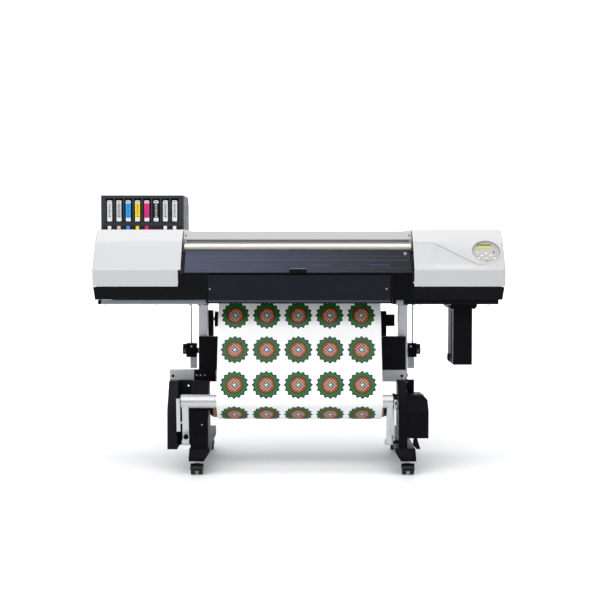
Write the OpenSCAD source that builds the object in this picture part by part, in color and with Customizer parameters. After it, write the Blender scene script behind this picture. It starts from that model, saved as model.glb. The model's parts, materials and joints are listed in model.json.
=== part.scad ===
// Roll-fed printer cutter on a wheeled stand, with an ink bay, a take-up unit and a rear roll feed.
// Units are millimetres. +X is the operator's right, +Y is the back, +Z is up.
// The origin is on the floor under the middle of the machine.

/* [Body] */
// Half the width over the two side covers
body_half_w = 948; // [940:1:960]
// Underside of the base frame above the floor
base_z = 783; // [775:1:790]
// Lower edge of the side covers above the floor
cover_bottom_z = 866; // [864:1:868]
// Top of the side covers above the floor
cover_top_z = 1129; // [1126:1:1132]
// Inner edge of the left cover
left_cover_x = -543; // [-546:1:-540]
// Inner edge of the right cover
right_cover_x = 530; // [528:1:534]
// Wall thickness of the moulded covers
cover_wall = 4; // [3:0.5:5]
// Front face of the lower front panel
panel_front_y = -335; // [-338:1:-332]
// Open angle at which the front cover is drawn
cover_open = 0; // [0:1:80]

/* [Media] */
// Width of the roll media
media_w = 762; // [700:1:762]
// Middle of the media across the machine
media_x = 3; // [0:1:6]
// Thickness the web is drawn at
media_t = 0.8; // [0.6:0.1:1]
// Radius of the full supply roll
supply_r = 55; // [45:1:55]
// Outer radius of the cardboard cores
core_r = 43; // [41:1:43]

/* [Platen] */
// Top of the printing bed above the floor
bed_z = 880; // [878:1:880]
// Radius of the front and rear aprons
apron_r = 90; // [88:1:92]
// Number of pinch wheels
pinch_count = 6; // [4:1:7]

/* [Ink bay] */
// Number of cartridges; NODES lists eight
cartridge_count = 8; // [8:1:8]
// Distance from one cartridge to the next
cartridge_pitch = 44.5; // [44:0.1:45]
// Width of a cartridge
cartridge_w = 25; // [22:0.5:27]
// Height of a cartridge
cartridge_h = 101; // [95:1:106]
// Top of the ink bay above the floor
bay_top_z = 1295; // [1290:1:1300]

/* [Stand] */
// Middle of the left foot and its casters
left_foot_x = -470; // [-474:1:-466]
// Middle of the right foot and its casters
right_foot_x = 502; // [498:1:506]
// Half the length of a foot
foot_half_l = 370; // [360:1:372]
// Underside of the feet above the floor
foot_z = 65; // [62:1:67]
// Radius of a caster wheel
wheel_r = 23.5; // [22:0.5:24]
// How far the caster wheels stand in front of the swivel
wheel_trail = 18; // [14:1:18]

/* [Take-up] */
// Height of the take-up core's axis
takeup_z = 297; // [294:1:300]
// Depth of the take-up core's axis
takeup_y = -262; // [-266:1:-258]
// Lower edge of the dancer bar
dancer_bar_z = 307; // [305:1:310]
// Height of the dancer bar
dancer_bar_h = 62; // [56:1:62]

/* [Hidden] */
$fn = 48;
fit = 0.06;

// Side covers, as depth and height round the outline, counter-clockwise seen from the right
cover_outline = [
    [-330, cover_bottom_z], [345, cover_bottom_z], [340, 1010], [200, cover_top_z],
    [-200, cover_top_z], [-262, 1070], [-336, 942]
];
bay_x0 = -body_half_w;
bay_x1 = -552;
bay_y = -90;
bay_z = cover_top_z + 1;
bay_depth = 250;
slot_x0 = -907;
slot_z0 = 1166;
slot_z1 = 1278;
slot_depth = 205;
cartridge_z = 1170;
cartridge_l = 195;

// Control panel: middle of its face and the slope of the cover under it
panel_x = 864;
panel_y = -287.4;
panel_z = 1026;
panel_tilt = 60;
panel_half = [66.5, 57];
// Keys on the panel, as distance right and up the slope from its middle
key_spots = [
    ["menu_key", -40, -2], ["up_key", 0, -6], ["left_key", -21, -18.5], ["enter_key", 0, -18.5],
    ["right_key", 21, -18.5], ["down_key", 0, -31], ["function_key", -35, -33],
    ["setup_key", 38, -33], ["power_key", 2, -47]
];
key_r = 4.2;
display_at = [-6, 29];
display_size = [64, 16];

media_x0 = media_x - media_w / 2;
media_x1 = media_x + media_w / 2;
front_apron = [-100, bed_z - apron_r];
rear_apron = [230, bed_z - apron_r];
platen_x0 = -415;
platen_x1 = 420;
roller_y = 110;
roller_r = 12;
pinch_axis = [150, 915];
pinch_wheel_r = 8;
pinch_wheel_z = bed_z + 0.4 + media_t + 0.4 + pinch_wheel_r;
lever_axis = [250, 915];

supply_axis = [rear_apron[0] + apron_r - supply_r - 1, 680];
hanger_bar = [supply_axis[0], 518];
flange_r = 41;
hub_r = 7.5;

dancer_axis = [-310, 145];
dancer_front_y = -366;
dancer_back_y = -334;
dancer_top = [-350, dancer_bar_z + 31];
pivot_r = 8;
wound_r = core_r + 7;
bar_nose = [dancer_front_y + dancer_bar_h / 2, dancer_bar_z + dancer_bar_h / 2];
leg_outline = [[-190, 119], [-190, 421], [-250, 421], [-330, 292], [-330, 119]];

rail_front_y = 20;
beam_y0 = 30;
beam_y1 = 90;
beam_z0 = 930;
beam_z1 = 1010;
hinge_axis = [-215, 1072];
hinge_r = 4;

// ---------- outlines ----------
function arc(c, r, a0, a1, n) =
    [for (i = [0 : n]) let (a = a0 + (a1 - a0) * i / n) c + r * [cos(a), sin(a)]];
function normal(a, b) = let (d = b - a) [-d[1], d[0]] / norm(d);
function reversed(p) = [for (i = [len(p) - 1 : -1 : 0]) p[i]];
function meet(p, a, b, w) = p + w * (a + b) / (1 + a * b);
// A path moved sideways by w, to the left of its direction
function beside(p, w) = [for (i = [0 : len(p) - 1])
    meet(p[i], normal(p[max(i - 1, 0)], p[max(i, 1)]),
        normal(p[min(i, len(p) - 2)], p[min(i + 1, len(p) - 1)]), w)];
// A counter-clockwise convex outline moved inward by w
function inset(p, w) = let (n = len(p)) [for (i = [0 : n - 1])
    meet(p[i], normal(p[(i + n - 1) % n], p[i]), normal(p[i], p[(i + 1) % n]), w)];

module band(p, w) {
    polygon(concat(p, reversed(beside(p, w))));
}

module ellipse(half, n = 56) {
    polygon([for (i = [0 : n - 1]) [half[0] * cos(360 * i / n), half[1] * sin(360 * i / n)]]);
}

// ---------- placing ----------
// A depth-height outline run from x0 to x1
module along_x(x0, x1) {
    translate([x0, 0, 0]) rotate([90, 0, 90]) linear_extrude(x1 - x0) children();
}

// A width-height outline run from y0 to y1
module along_y(y0, y1) {
    translate([0, y1, 0]) rotate([90, 0, 0]) linear_extrude(y1 - y0) children();
}

module circle_at(c, r) {
    translate(c) circle(r);
}

module block(x, y, z) {
    translate([x[0], y[0], z[0]]) cube([x[1] - x[0], y[1] - y[0], z[1] - z[0]]);
}

module rod(x, at, r) {
    translate([x[0], at[0], at[1]]) rotate([0, 90, 0]) cylinder(h = x[1] - x[0], r = r);
}

// Children drawn flat on the control panel's face
module on_panel() {
    translate([panel_x, panel_y, panel_z]) rotate([panel_tilt, 0, 0]) children();
}

// A plate along X round two bosses, from one axis to another
module link(x, a, b, ra, rb) {
    d = b - a;
    turn = atan2(d[1], d[0]);
    rod(x, a, ra);
    rod(x, b, rb);
    along_x(x[0], x[1]) translate(a) rotate(turn) polygon([[0, -ra], [norm(d), -rb], [norm(d), rb], [0, ra]]);
}

// ---------- body ----------
module base_frame() color("lightslategray") {
    wing_y = -300;
    x0 = -925;
    x1 = 912;
    wing_x0 = -425;
    wing_x1 = 430;
    // pan with two wings that reach forward on each side of the media exit
    block([x0, x1], [-150, 300], [base_z, base_z + 4]);
    block([x0, wing_x0], [wing_y, -149], [base_z, base_z + 4]);
    block([wing_x1, x1], [wing_y, -149], [base_z, base_z + 4]);
    // front and rear flanges
    block([x0, wing_x0], [wing_y, wing_y + 4], [base_z, base_z + 20]);
    block([wing_x1, x1], [wing_y, wing_y + 4], [base_z, base_z + 20]);
    block([x0, x1], [296, 300], [base_z, base_z + 20]);
    // posts that carry the guide beam
    for (x = [-915, -562, 540, 890])
        block([x, x + 14], [beam_y0, beam_y1], [base_z + 3, beam_z0]);
    // bracket of the loading lever
    difference() {
        block([-506, -496], [230, 270], [base_z + 3, 935]);
        rod([-510, -490], lever_axis, 6 + fit);
    }
}

// Open skirt under a side cover, tapered at its outer end
module skirt(outer_top, outer_bottom, inner) {
    z0 = 805;
    z1 = cover_bottom_z - 3;
    low = min(outer_bottom, inner);
    s = sign(inner - outer_top);
    difference() {
        intersection() {
            along_y(-340, 350)
                polygon([[outer_top, z1], [outer_bottom, z0], [inner, z0], [inner, z1]]);
            along_x(-body_half_w, body_half_w)
                polygon([[-322, z0], [335, z0], [340, z1], [-330, z1]]);
        }
        along_y(-318, 331)
            polygon([[outer_bottom + s * 4, z0 - 1], [outer_top + s * 4, z1 + 1],
                [inner + s * 9, z1 + 1], [inner + s * 9, z0 - 1]]);
    }
}

module lower_mouldings() color("#17191b") {
    skirt(-944, -937, -421);
    skirt(943, 935, 524);
    // step that closes the front of the right wing
    block([432, 920], [-321, -305], [803.5, 807.5]);
    block([432, 920], [-305, -301], [base_z, 807.5]);
    // left moulding under the window
    block([-553, -416.6], [-332, -302], [cover_bottom_z - 3, 925]);
    block([-553, -545], [-332, -302], [924, 940]);
    // right moulding with upright ribs
    block([419.6, 524.5], [-326, -302], [806, 925]);
    for (x = [428 : 8 : 516])
        block([x, x + 3], [-331, -325], [812, 917]);
}

module cover_shell(x0, x1, open_x0, open_x1) {
    difference() {
        along_x(x0, x1) polygon(cover_outline);
        along_x(open_x0, open_x1) polygon(inset(cover_outline, cover_wall));
        block([open_x0, open_x1], [-325, 340], [cover_bottom_z - 5, cover_bottom_z + 8]);
    }
}

module left_cover() color("#ececee") {
    difference() {
        cover_shell(-body_half_w, left_cover_x, -body_half_w + cover_wall, left_cover_x + 1);
        block([-555, left_cover_x + 1], [-345, -280], [cover_bottom_z - 1, 942]);
    }
}

module right_cover() color("#ececee") {
    difference() {
        cover_shell(right_cover_x, body_half_w, right_cover_x - 1, body_half_w - cover_wall);
        on_panel() translate([0, 0, -30]) linear_extrude(60) ellipse(panel_half + [0.5, 0.5]);
    }
}

module top_cover() color("#cfcabc") {
    x0 = left_cover_x + 2;
    x1 = right_cover_x - 2;
    along_x(x0, x1)
        band([[-204, 1042], [-204, 1082], [-220, 1082], [-192, 1121], [130, 1121]], -3);
    // ears that carry the front cover's pins
    for (x = [x0, x1 - 7]) difference() {
        along_x(x, x + 7)
            polygon([[-224, 1064], [-206, 1060], [-206, 1081], [-224, 1081]]);
        rod([x - 1, x + 8], hinge_axis, hinge_r + fit);
    }
}

module rear_cover() color("#d9dadb") {
    difference() {
        union() {
            along_x(left_cover_x + 2, right_cover_x - 2)
                band([[131, 1121], [215, 1121], [335, 1010], [335, 930]], -3);
            // mains inlet housing
            block([430, 490], [300, 334], [950, 990]);
        }
        block([436, 484], [310, 336], [955, 985]);
    }
    for (x = [448, 460, 472])
        block([x - 1, x + 1], [309, 325], [966, 974]);
}

module front_panel() color("#202328") {
    x0 = -416;
    x1 = 419;
    block([x0, x1], [panel_front_y, panel_front_y + 4], [788, 918]);
    block([x0, x1], [panel_front_y + 3, -300], [914, 918]);
    block([x0, x1], [panel_front_y + 3, -318], [788, 791]);
}

module control_panel() color("#b9b6b0") {
    on_panel() {
        difference() {
            translate([0, 0, -12]) linear_extrude(14) ellipse(panel_half);
            translate([0, 0, -5]) linear_extrude(8) ellipse(panel_half - [3, 3]);
            translate([0, 0, -13]) linear_extrude(4) ellipse(panel_half - [3, 3]);
            for (k = key_spots)
                translate([k[1], k[2], -13]) cylinder(h = 12, r = key_r + 0.35);
            translate([display_at[0] - display_size[0] / 2, display_at[1] - display_size[1] / 2, -7])
                cube([display_size[0], display_size[1], 6]);
        }
        // circuit board behind the keys
        translate([0, 0, -14]) linear_extrude(2) ellipse(panel_half - [1, 1]);
        // display glass
        translate([display_at[0] - display_size[0] / 2 + 1, display_at[1] - display_size[1] / 2 + 1, -7])
            cube([display_size[0] - 2, display_size[1] - 2, 1.2]);
    }
}

module key(i) color(i == 8 ? "#2f8fe0" : "#f2f2f2") {
    on_panel() translate([key_spots[i][1], key_spots[i][2], -10.5]) cylinder(h = 7.3, r = key_r);
}

module ink_bay() color("#34383c") {
    difference() {
        along_x(bay_x0, bay_x1) translate([bay_y, 0])
            polygon([[0, bay_z], [bay_depth, bay_z], [bay_depth, bay_top_z - 34],
                [bay_depth - 44, bay_top_z], [0, bay_top_z]]);
        for (i = [0 : cartridge_count - 1])
            block([slot_x0 + i * cartridge_pitch - 15, slot_x0 + i * cartridge_pitch + 17],
                [bay_y - 1, bay_y + slot_depth], [slot_z0, slot_z1]);
    }
}

module cartridge(i) {
    x = slot_x0 + i * cartridge_pitch;
    shades = ["#d8d8d8", "#d8d8d8", "#1ea0e0", "#f3e12a", "#e8168b", "#141414", "#e4e4e6", "#e4e4e6"];
    color(shades[i]) {
        block([x - cartridge_w / 2, x + cartridge_w / 2], [bay_y + 4, bay_y + cartridge_l],
            [cartridge_z, cartridge_z + cartridge_h]);
        // grip ridge at the top of the front end
        block([x - cartridge_w / 2 + 3, x + cartridge_w / 2 - 3], [bay_y + 1, bay_y + 4.5],
            [cartridge_z + cartridge_h - 8, cartridge_z + cartridge_h - 3]);
    }
}

module waste_box() color("#121214") {
    difference() {
        block([729, 816], [-200, 0], [492, 757]);
        block([732, 813], [-197, 1], [495, 750]);
    }
    // chamfered flange that hangs on the base frame
    along_y(-200, 0)
        polygon([[716, 756], [829, 756], [838, 768], [838, base_z], [704, base_z], [704, 768]]);
    // rail and latch on the left side
    block([724, 730], [-150, -60], [520, 740]);
    along_y(-110, -80) polygon([[725, 496], [725, 536], [714, 536], [714, 506]]);
}

// ---------- carriage, rail and bed ----------
module guide_rail() color("#a9adb2") {
    x0 = -925;
    x1 = 925;
    difference() {
        block([x0, x1], [beam_y0, beam_y1], [beam_z0, beam_z1]);
        block([x0 - 1, x1 + 1], [beam_y0 + 4, beam_y1 - 4], [beam_z0 + 4, beam_z1 - 4]);
    }
    block([x0, x1], [rail_front_y, beam_y0 + 1], [966, 980]);
    // brackets of the pinch arm shaft
    for (x = [-448, 440]) difference() {
        block([x, x + 8], [beam_y1 - 1, 164], [903, 950]);
        rod([x - 1, x + 9], pinch_axis, 6 + fit);
    }
}

module carriage_drive() color("#3c4046") {
    pulley_x = [-885, 885];
    pulley_y = 60;
    pulley_r = 14;
    belt_t = 1.5;
    // motor over the left end of the beam
    translate([pulley_x[0], pulley_y, 1031]) cylinder(h = 52, r = 24);
    for (x = pulley_x) {
        translate([x, pulley_y, beam_z1]) cylinder(h = 21, r = 4);
        translate([x, pulley_y, beam_z1 + 3]) cylinder(h = 16, r = pulley_r - 0.5);
    }
    // toothed belt round both pulleys
    translate([0, pulley_y, beam_z1 + 5]) linear_extrude(10) difference() {
        union() {
            for (x = pulley_x) translate([x, 0]) circle(pulley_r + belt_t);
            translate([pulley_x[0], -pulley_r - belt_t])
                square([pulley_x[1] - pulley_x[0], 2 * (pulley_r + belt_t)]);
        }
        for (x = pulley_x) translate([x, 0]) circle(pulley_r);
        translate([pulley_x[0], -pulley_r]) square([pulley_x[1] - pulley_x[0], 2 * pulley_r]);
    }
}

module print_carriage() color("#2b2e33") {
    x0 = 600;
    x1 = 850;
    difference() {
        union() {
            block([x0, x1], [-190, 8], [896, 1008]);
            // print heads and ultraviolet lamps
            for (x = [640, 700, 760]) block([x, x + 34], [-150, -60], [884, 897]);
            for (x = [x0 + 2, x1 - 24]) block([x, x + 22], [-170, -40], [885, 897]);
            // slide blocks above and below the rail
            block([x0 + 20, x1 - 20], [7, rail_front_y + 8], [981, 1000]);
            block([x0 + 20, x1 - 20], [7, rail_front_y + 8], [946, 965]);
            // belt clamp
            block([700, 740], [-20, 43.5], [1011, 1027]);
            block([700, 740], [-20, 0], [1007, 1012]);
            // boss of the blade holder
            block([x0 - 28, x0 + 1], [-120, -90], [910, 960]);
        }
        translate([x0 - 13, -105, 900]) cylinder(h = 70, r = 10 + fit);
        block([x0 + 20, x1 - 20], [-180, -24], [1003, 1009]);
    }
}

module blade_holder() color("#c8ccd0") {
    translate([587, -105, 0]) {
        translate([0, 0, 890]) cylinder(h = 82, r = 10);
        translate([0, 0, 885]) cylinder(h = 6, r = 4);
        translate([0, 0, 972]) cylinder(h = 6, r = 13);
    }
}

module platen() color("#8d9196") {
    skin = 3;
    path = concat(
        arc(rear_apron, apron_r, 0, 90, 12),
        arc(front_apron, apron_r, 90, 180, 12)
    );
    difference() {
        union() {
            along_x(platen_x0, platen_x1) band(path, skin);
            // ribs and end plates down to the base frame
            for (x = [platen_x0, -140, 140, platen_x1 - 6])
                block([x, x + 6], [-95, 225], [base_z + 4, bed_z - 2]);
        }
        // slot along the grit roller
        block([platen_x0 + 6, platen_x1 - 6], [roller_y - 16, roller_y + 16], [bed_z - 30, bed_z + 1]);
        rod([platen_x0 - 1, platen_x1 + 1], [roller_y, bed_z - roller_r], roller_r + fit);
    }
}

module grit_roller() color("#9aa0a6") {
    rod([platen_x0 - 12, platen_x1 + 12], [roller_y, bed_z - roller_r], roller_r);
    rod([platen_x1 + 11, platen_x1 + 23], [roller_y, bed_z - roller_r], 26);
}

function pinch_x(i) = media_x0 + 60 + i * (media_w - 120) / (pinch_count - 1);

module pinch_arms() color("#5a5e63") {
    rod([-448, 448], pinch_axis, 6);
    for (i = [0 : pinch_count - 1]) {
        x = pinch_x(i);
        link([x - 11, x - 8], pinch_axis, [roller_y, pinch_wheel_z], 10, 6);
        link([x + 8, x + 11], pinch_axis, [roller_y, pinch_wheel_z], 10, 6);
        rod([x - 9, x + 9], [roller_y, pinch_wheel_z], 3);
    }
}

module pinch_wheels() color("#1d1d1f") {
    for (i = [0 : pinch_count - 1]) difference() {
        rod([pinch_x(i) - 7, pinch_x(i) + 7], [roller_y, pinch_wheel_z], pinch_wheel_r);
        rod([pinch_x(i) - 8, pinch_x(i) + 8], [roller_y, pinch_wheel_z], 3 + fit);
    }
}

module loading_lever() color("#3a3d42") {
    tip = [354, 903];
    rod([-506, -480], lever_axis, 6);
    link([-490, -482], lever_axis, tip, 11, 6);
    rod([-497, -475], tip, 9);
}

module cap_station() color("#4a4e54") {
    block([600, 850], [-180, -20], [base_z + 4, 868]);
    for (x = [642, 702, 762]) difference() {
        block([x, x + 30], [-148, -62], [867, 882]);
        block([x + 3, x + 27], [-145, -65], [872, 883]);
    }
    // wiper blade
    block([812, 814], [-140, -70], [867, 882]);
}

// ---------- front cover ----------
module front_cover() color("#d6d1c4") {
    x0 = -532;
    x1 = 521;
    translate([0, hinge_axis[0], hinge_axis[1]]) rotate([-cover_open, 0, 0])
    translate([0, -hinge_axis[0], -hinge_axis[1]]) {
        // rounded top bar
        along_x(x0, x1)
            polygon(concat(
                arc([-245, 1046], 16, 90, 218, 10),
                [[-249, 1030], [-232, 1030], [-230, 1062]]
            ));
        // hinge arms and pins
        for (x = [x0, x1 - 8]) {
            rod([x, x + 8], hinge_axis, 7);
            along_x(x, x + 8) polygon([[-216, 1065], [-213, 1071], [-231, 1063], [-231, 1054]]);
        }
        rod([left_cover_x + 2, x0 + 1], hinge_axis, hinge_r);
        rod([x1 - 1, right_cover_x - 2], hinge_axis, hinge_r);
        // grip on the lower edge
        block([-44, 35], [-344, -331], [929, 948]);
    }
}

module front_window() color("#2b3040", 0.6) {
    translate([0, hinge_axis[0], hinge_axis[1]]) rotate([-cover_open, 0, 0])
    translate([0, -hinge_axis[0], -hinge_axis[1]])
        along_x(-532, 521) polygon([[-330.5, 926], [-326, 926], [-252, 1029.5], [-258, 1029.5], [-330.5, 930]]);
}

// ---------- stand ----------
module stand_frame() color("#b4b8bd") {
    left = [-483, -440];
    right = [478, 522];
    for (x = [left, right]) difference() {
        block(x, [-90, -40], [119, base_z]);
        block([x[0] + 3, x[1] - 3], [-87, -43], [118, base_z + 1]);
    }
    difference() {
        block([-617, 513], [-131, -90], [404, 461]);
        block([-618, 512], [-128, -93], [407, 458]);
    }
}

module cross_panel() color("#141416") {
    // pressed tray, open at the back
    difference() {
        block([-478, 510], [-136, -91], [462, 620]);
        block([-475.5, 507.5], [-133.5, -90], [464.5, 617.5]);
    }
    // bracket over the left end of the beam
    block([-501, -398], [-135, -131], [406, 463]);
}

module foot_outline(s, reach) {
    // s is 1 on the left, -1 on the right, so the slope faces inward
    polygon([[-35 * s, foot_z], [34 * s, foot_z], [reach * s, 102], [reach * s, 119], [-35 * s, 119]]);
}

module feet() color("#1a1c1e") {
    for (side = [[left_foot_x, 1], [right_foot_x, -1]]) difference() {
        intersection() {
            translate([side[0], 0, 0]) {
                along_y(-foot_half_l, foot_half_l) foot_outline(side[1], 36);
                along_y(-foot_half_l, -180) foot_outline(side[1], 58);
            }
            along_x(-600, 600)
                polygon([[-foot_half_l, foot_z], [foot_half_l, foot_z], [foot_half_l, 85],
                    [foot_half_l - 34, 119], [-foot_half_l + 34, 119], [-foot_half_l, 85]]);
        }
        for (y = [-320, 320])
            translate([side[0], y, foot_z - 1]) cylinder(h = 36, r = 6 + fit);
        // channel open below, between the caster sockets
        block([side[0] - 29, side[0] + 29], [-290, 290], [foot_z - 1, 113]);
    }
}

module leg_covers() color("#1d1f22") {
    difference() {
        union() {
            along_x(-501, -419) polygon(leg_outline);
            along_x(460, 501) polygon(leg_outline);
            rod([-541, -500], dancer_axis, pivot_r);
            rod([400, 461], dancer_axis, pivot_r);
            rod([-420, -399], [takeup_y, takeup_z], 10);
        }
        rod([459, 497], [takeup_y, takeup_z], 9 + fit);
        // hollow inside the left leg, open to the back
        along_x(-497, -423)
            polygon([[-260, 123], [-189, 123], [-189, 417], [-240, 417], [-260, 385]]);
    }
}

module dancer_guard() color("#2f3236") {
    difference() {
        along_x(-607, -501.5) polygon([[-190, 114], [-190, 421], [-250, 421], [-330, 292], [-330, 114]]);
        block([-562, -501], [-331, -212], [113, 422]);
        block([-506, -501], [-213, -189], [113, 119.5]);
        along_x(-603, -566)
            polygon([[-300, 118], [-189, 118], [-189, 400], [-246, 400], [-300, 318]]);
        translate([-521, -200, 394]) rotate([90, 0, 0]) cylinder(h = 40, r = 5, center = true);
    }
}

module takeup_drive() color("#1c1d20") {
    difference() {
        intersection() {
            along_x(501.5, 598)
                polygon([[-150, 165], [-150, 357], [-262, 357], [-280, 341], [-330, 291], [-330, 165]]);
            along_y(-331, -149)
                polygon([[501, 164], [599, 164], [599, 336], [576, 358], [501, 358]]);
        }
        block([505, 594], [-300, -149], [169, 300]);
        // sockets in the top
        for (x = [530, 552, 574]) block([x, x + 14], [-256, -240], [348, 358]);
    }
    // upright plate with two holes
    difference() {
        block([503, 549], [-149.5, -146], [300, 417]);
        for (z = [363, 403]) translate([513.2, -140, z]) rotate([90, 0, 0]) cylinder(h = 12, r = 3);
    }
    // sensor arm under the box
    along_y(-318, -296)
        polygon([[533, 165.5], [528, 133], [544, 113], [562, 113], [546, 165.5]]);
}

module dancer_profile(r) {
    back = [[dancer_back_y, bar_nose[1] - r], [dancer_back_y, bar_nose[1] + r]];
    polygon(concat(arc(bar_nose, r, 90, 270, 20), back));
}

module dancer() color("#c9cdd2") {
    x0 = -545;
    x1 = 436;
    r = dancer_bar_h / 2;
    // hollow bar with a round nose and a groove
    difference() {
        along_x(x0, x1) dancer_profile(r);
        block([x0 - 1, x1 + 1], [dancer_front_y - 1, dancer_front_y + 4],
            [bar_nose[1] - 3, bar_nose[1] + 5]);
        along_x(x0 - 1, x1 + 1) difference() {
            circle_at(bar_nose, r - 6);
            translate([dancer_back_y - 3, 0]) square([60, 1000]);
        }
    }
    difference() {
        union() {
            link([-536, -507], dancer_axis, dancer_top, 15, 13);
            link([404, 428], dancer_axis, dancer_top, 15, 13);
            // thin plates outside the bar
            along_x(-562, -545) polygon([[-340, 352], [-362, 352], [-345, 199], [-328, 199]]);
            along_x(436, 441) polygon([[-338, 347], [-362, 347], [-326, 153], [-306, 153]]);
            rod([427, 441], [-317, 165], 5);
            rod([-546, -535], [-340, 240], 5);
        }
        rod([-540, -500], dancer_axis, pivot_r + fit);
        rod([400, 430], dancer_axis, pivot_r + fit);
    }
}

module takeup_core() color("#a87c50") {
    axis = [takeup_y, takeup_z];
    difference() {
        rod([-397, 395], axis, core_r);
        rod([-398, 396], axis, core_r - 5);
    }
    difference() {
        rod([media_x0, media_x1], axis, wound_r);
        rod([media_x0 - 1, media_x1 + 1], axis, core_r - 1);
    }
    // left holder on the leg's spindle
    difference() {
        union() {
            rod([-414, -397.5], axis, 40);
            rod([-398, -370], axis, core_r - 4.9);
        }
        rod([-417, -390], axis, 10 + fit);
    }
    // right holder and the drive shaft
    rod([395.5, 412], axis, 40);
    rod([370, 396], axis, core_r - 4.9);
    rod([413, 496], axis, 9);
}

// ---------- rear roll feed ----------
module feed_frame() color("#24262a") {
    y = supply_axis[0];
    // hangers with a foot under the base frame
    for (x = [[-555, -549], [579, 585]]) block(x, [y - 14, y + 14], [540, base_z]);
    for (x = [[-564, -554.9], [584.9, 594]]) block(x, [y - 14, y + 14], [752, base_z]);
    // clamp housings, each bored for its lever
    for (c = [[[-577, -524], [-578, -566]], [[557, 602], [590, 603]]]) difference() {
        block(c[0], [y - 26, y + 26], [486, 556]);
        rod(c[1], hanger_bar, pivot_r + fit);
    }
    for (x = [-557, 558]) block([x, x + 33], [y - 20, y + 20], [428, 487]);
    rod([-525, 558], hanger_bar, 14);
    // roll holders on the bar
    difference() {
        block([-469, -439], [y - 24, y + 24], [500, 725]);
        rod([-470, -438], supply_axis, hub_r + fit);
    }
    difference() {
        union() {
            block([417, 447], [y - 24, y + 24], [500, 721]);
            block([446, 489], [y - 22, y + 22], [644, 703]);
        }
        rod([416, 490], supply_axis, hub_r + fit);
    }
}

module supply_roll() color("#e9e9ea") {
    difference() {
        rod([-413, 405], supply_axis, core_r);
        rod([-414, 406], supply_axis, core_r - 5);
    }
    difference() {
        rod([media_x0, media_x1], supply_axis, supply_r);
        rod([media_x0 - 1, media_x1 + 1], supply_axis, core_r - 1);
    }
    // guide discs, plugs in the core and journals
    for (x = [[-431, -422], [405.5, 413]]) rod(x, supply_axis, flange_r);
    for (x = [[-423, -390], [380, 406]]) rod(x, supply_axis, core_r - 4.9);
    rod([-467, -430], supply_axis, hub_r);
    rod([412, 487], supply_axis, hub_r);
}

module clamp_levers() color("#101113") {
    y = hanger_bar[0];
    z = hanger_bar[1];
    for (s = [[[-596, -579], [-596, -568]], [[604, 622], [592, 622]]]) {
        block(s[0], [y - 9, y + 9], [z - 18, z + 34]);
        rod(s[1], hanger_bar, pivot_r);
    }
}

// ---------- media ----------
// Depth and height of the web's inner face, from the supply roll over the bed to the take-up roll
lie = 0.4;
web_reach = apron_r + lie;
bar_gap = 0.6;
bar_reach = dancer_bar_h / 2 + bar_gap;
roll_reach = wound_r + bar_gap;
takeup_axis = [takeup_y, takeup_z];
// Angle of the line that touches circle a and then circle b on their front sides
function touch(a, ra, b, rb) = 360 + atan2(b[1] - a[1], b[0] - a[0]) - acos((ra - rb) / norm(b - a));
apron_turn = touch(front_apron, web_reach, bar_nose, bar_reach);
bar_turn = touch(bar_nose, bar_reach, takeup_axis, roll_reach);
web_path = concat(
    [[rear_apron[0] + web_reach, supply_axis[1]]],
    arc(rear_apron, web_reach, 0, 90, 10),
    arc(front_apron, web_reach, 90, apron_turn, 10),
    arc(bar_nose, bar_reach, apron_turn, bar_turn, 10),
    arc(takeup_axis, roll_reach, bar_turn, 270, 4)
);

module media_web() color("white") {
    along_x(media_x0, media_x1) band(web_path, -media_t);
}

// ---------- casters ----------
caster_spots = [
    [left_foot_x, -320], [right_foot_x, -320], [left_foot_x, 320], [right_foot_x, 320]
];

module at_caster(i) {
    translate([caster_spots[i][0], caster_spots[i][1], 0]) children();
}

module caster_fork(i) color("#1c1e20") {
    axle = [-wheel_trail, wheel_r];
    at_caster(i) {
        // swivel stem
        translate([0, 0, 40]) cylinder(h = 56, r = 6);
        // hood over the twin wheels
        difference() {
            union() {
                difference() {
                    rod([-29, 29], axle, wheel_r + 4);
                    rod([-30, 30], axle, wheel_r + 1.4);
                }
                rod([-8, 8], axle, wheel_r + 2);
                block([-8, 8], [-wheel_trail, 9], [30, 50]);
            }
            block([-31, 31], [-wheel_trail - 40, 40], [-5, wheel_r + 2]);
        }
        block([-8, 8], [-wheel_trail - 8, -wheel_trail + 8], [wheel_r - 8, wheel_r + 4]);
        rod([-27, 27], axle, 4);
    }
}

module caster_wheels(i) color("#26282b") {
    axle = [-wheel_trail, wheel_r];
    at_caster(i) for (x = [[-27, -9], [9, 27]]) difference() {
        rod(x, axle, wheel_r);
        rod([x[0] - 1, x[1] + 1], axle, 4 + fit);
    }
}

// ---------- fasteners ----------
module screw_head(at, r = 6) {
    translate(at) rotate([90, 0, 0]) cylinder(h = 3, r = r);
}

module fasteners() color("#8a8e93") {
    screw_head([-602, -131, 432], 7);
    screw_head([492, -131, 432], 7);
    for (x = [-402, 400]) screw_head([x, panel_front_y, 878], 4.5);
    for (x = [480.5], z = [140, 190, 240]) screw_head([x, -330, z], 3.5);
    screw_head([-455, -330, 224], 3.5);
    for (x = [-488, -470, -450]) screw_head([x, -135, 436], 4);
    for (x = [-900, -660, -450, 560, 700, 880])
        translate([x, -270, base_z - 4]) cylinder(h = 4, r = 5, $fn = 6);
    for (x = [-500, -438, 468, 526])
        translate([x, -100, base_z - 7]) cylinder(h = 7, r = 6, $fn = 6);
}

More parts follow.
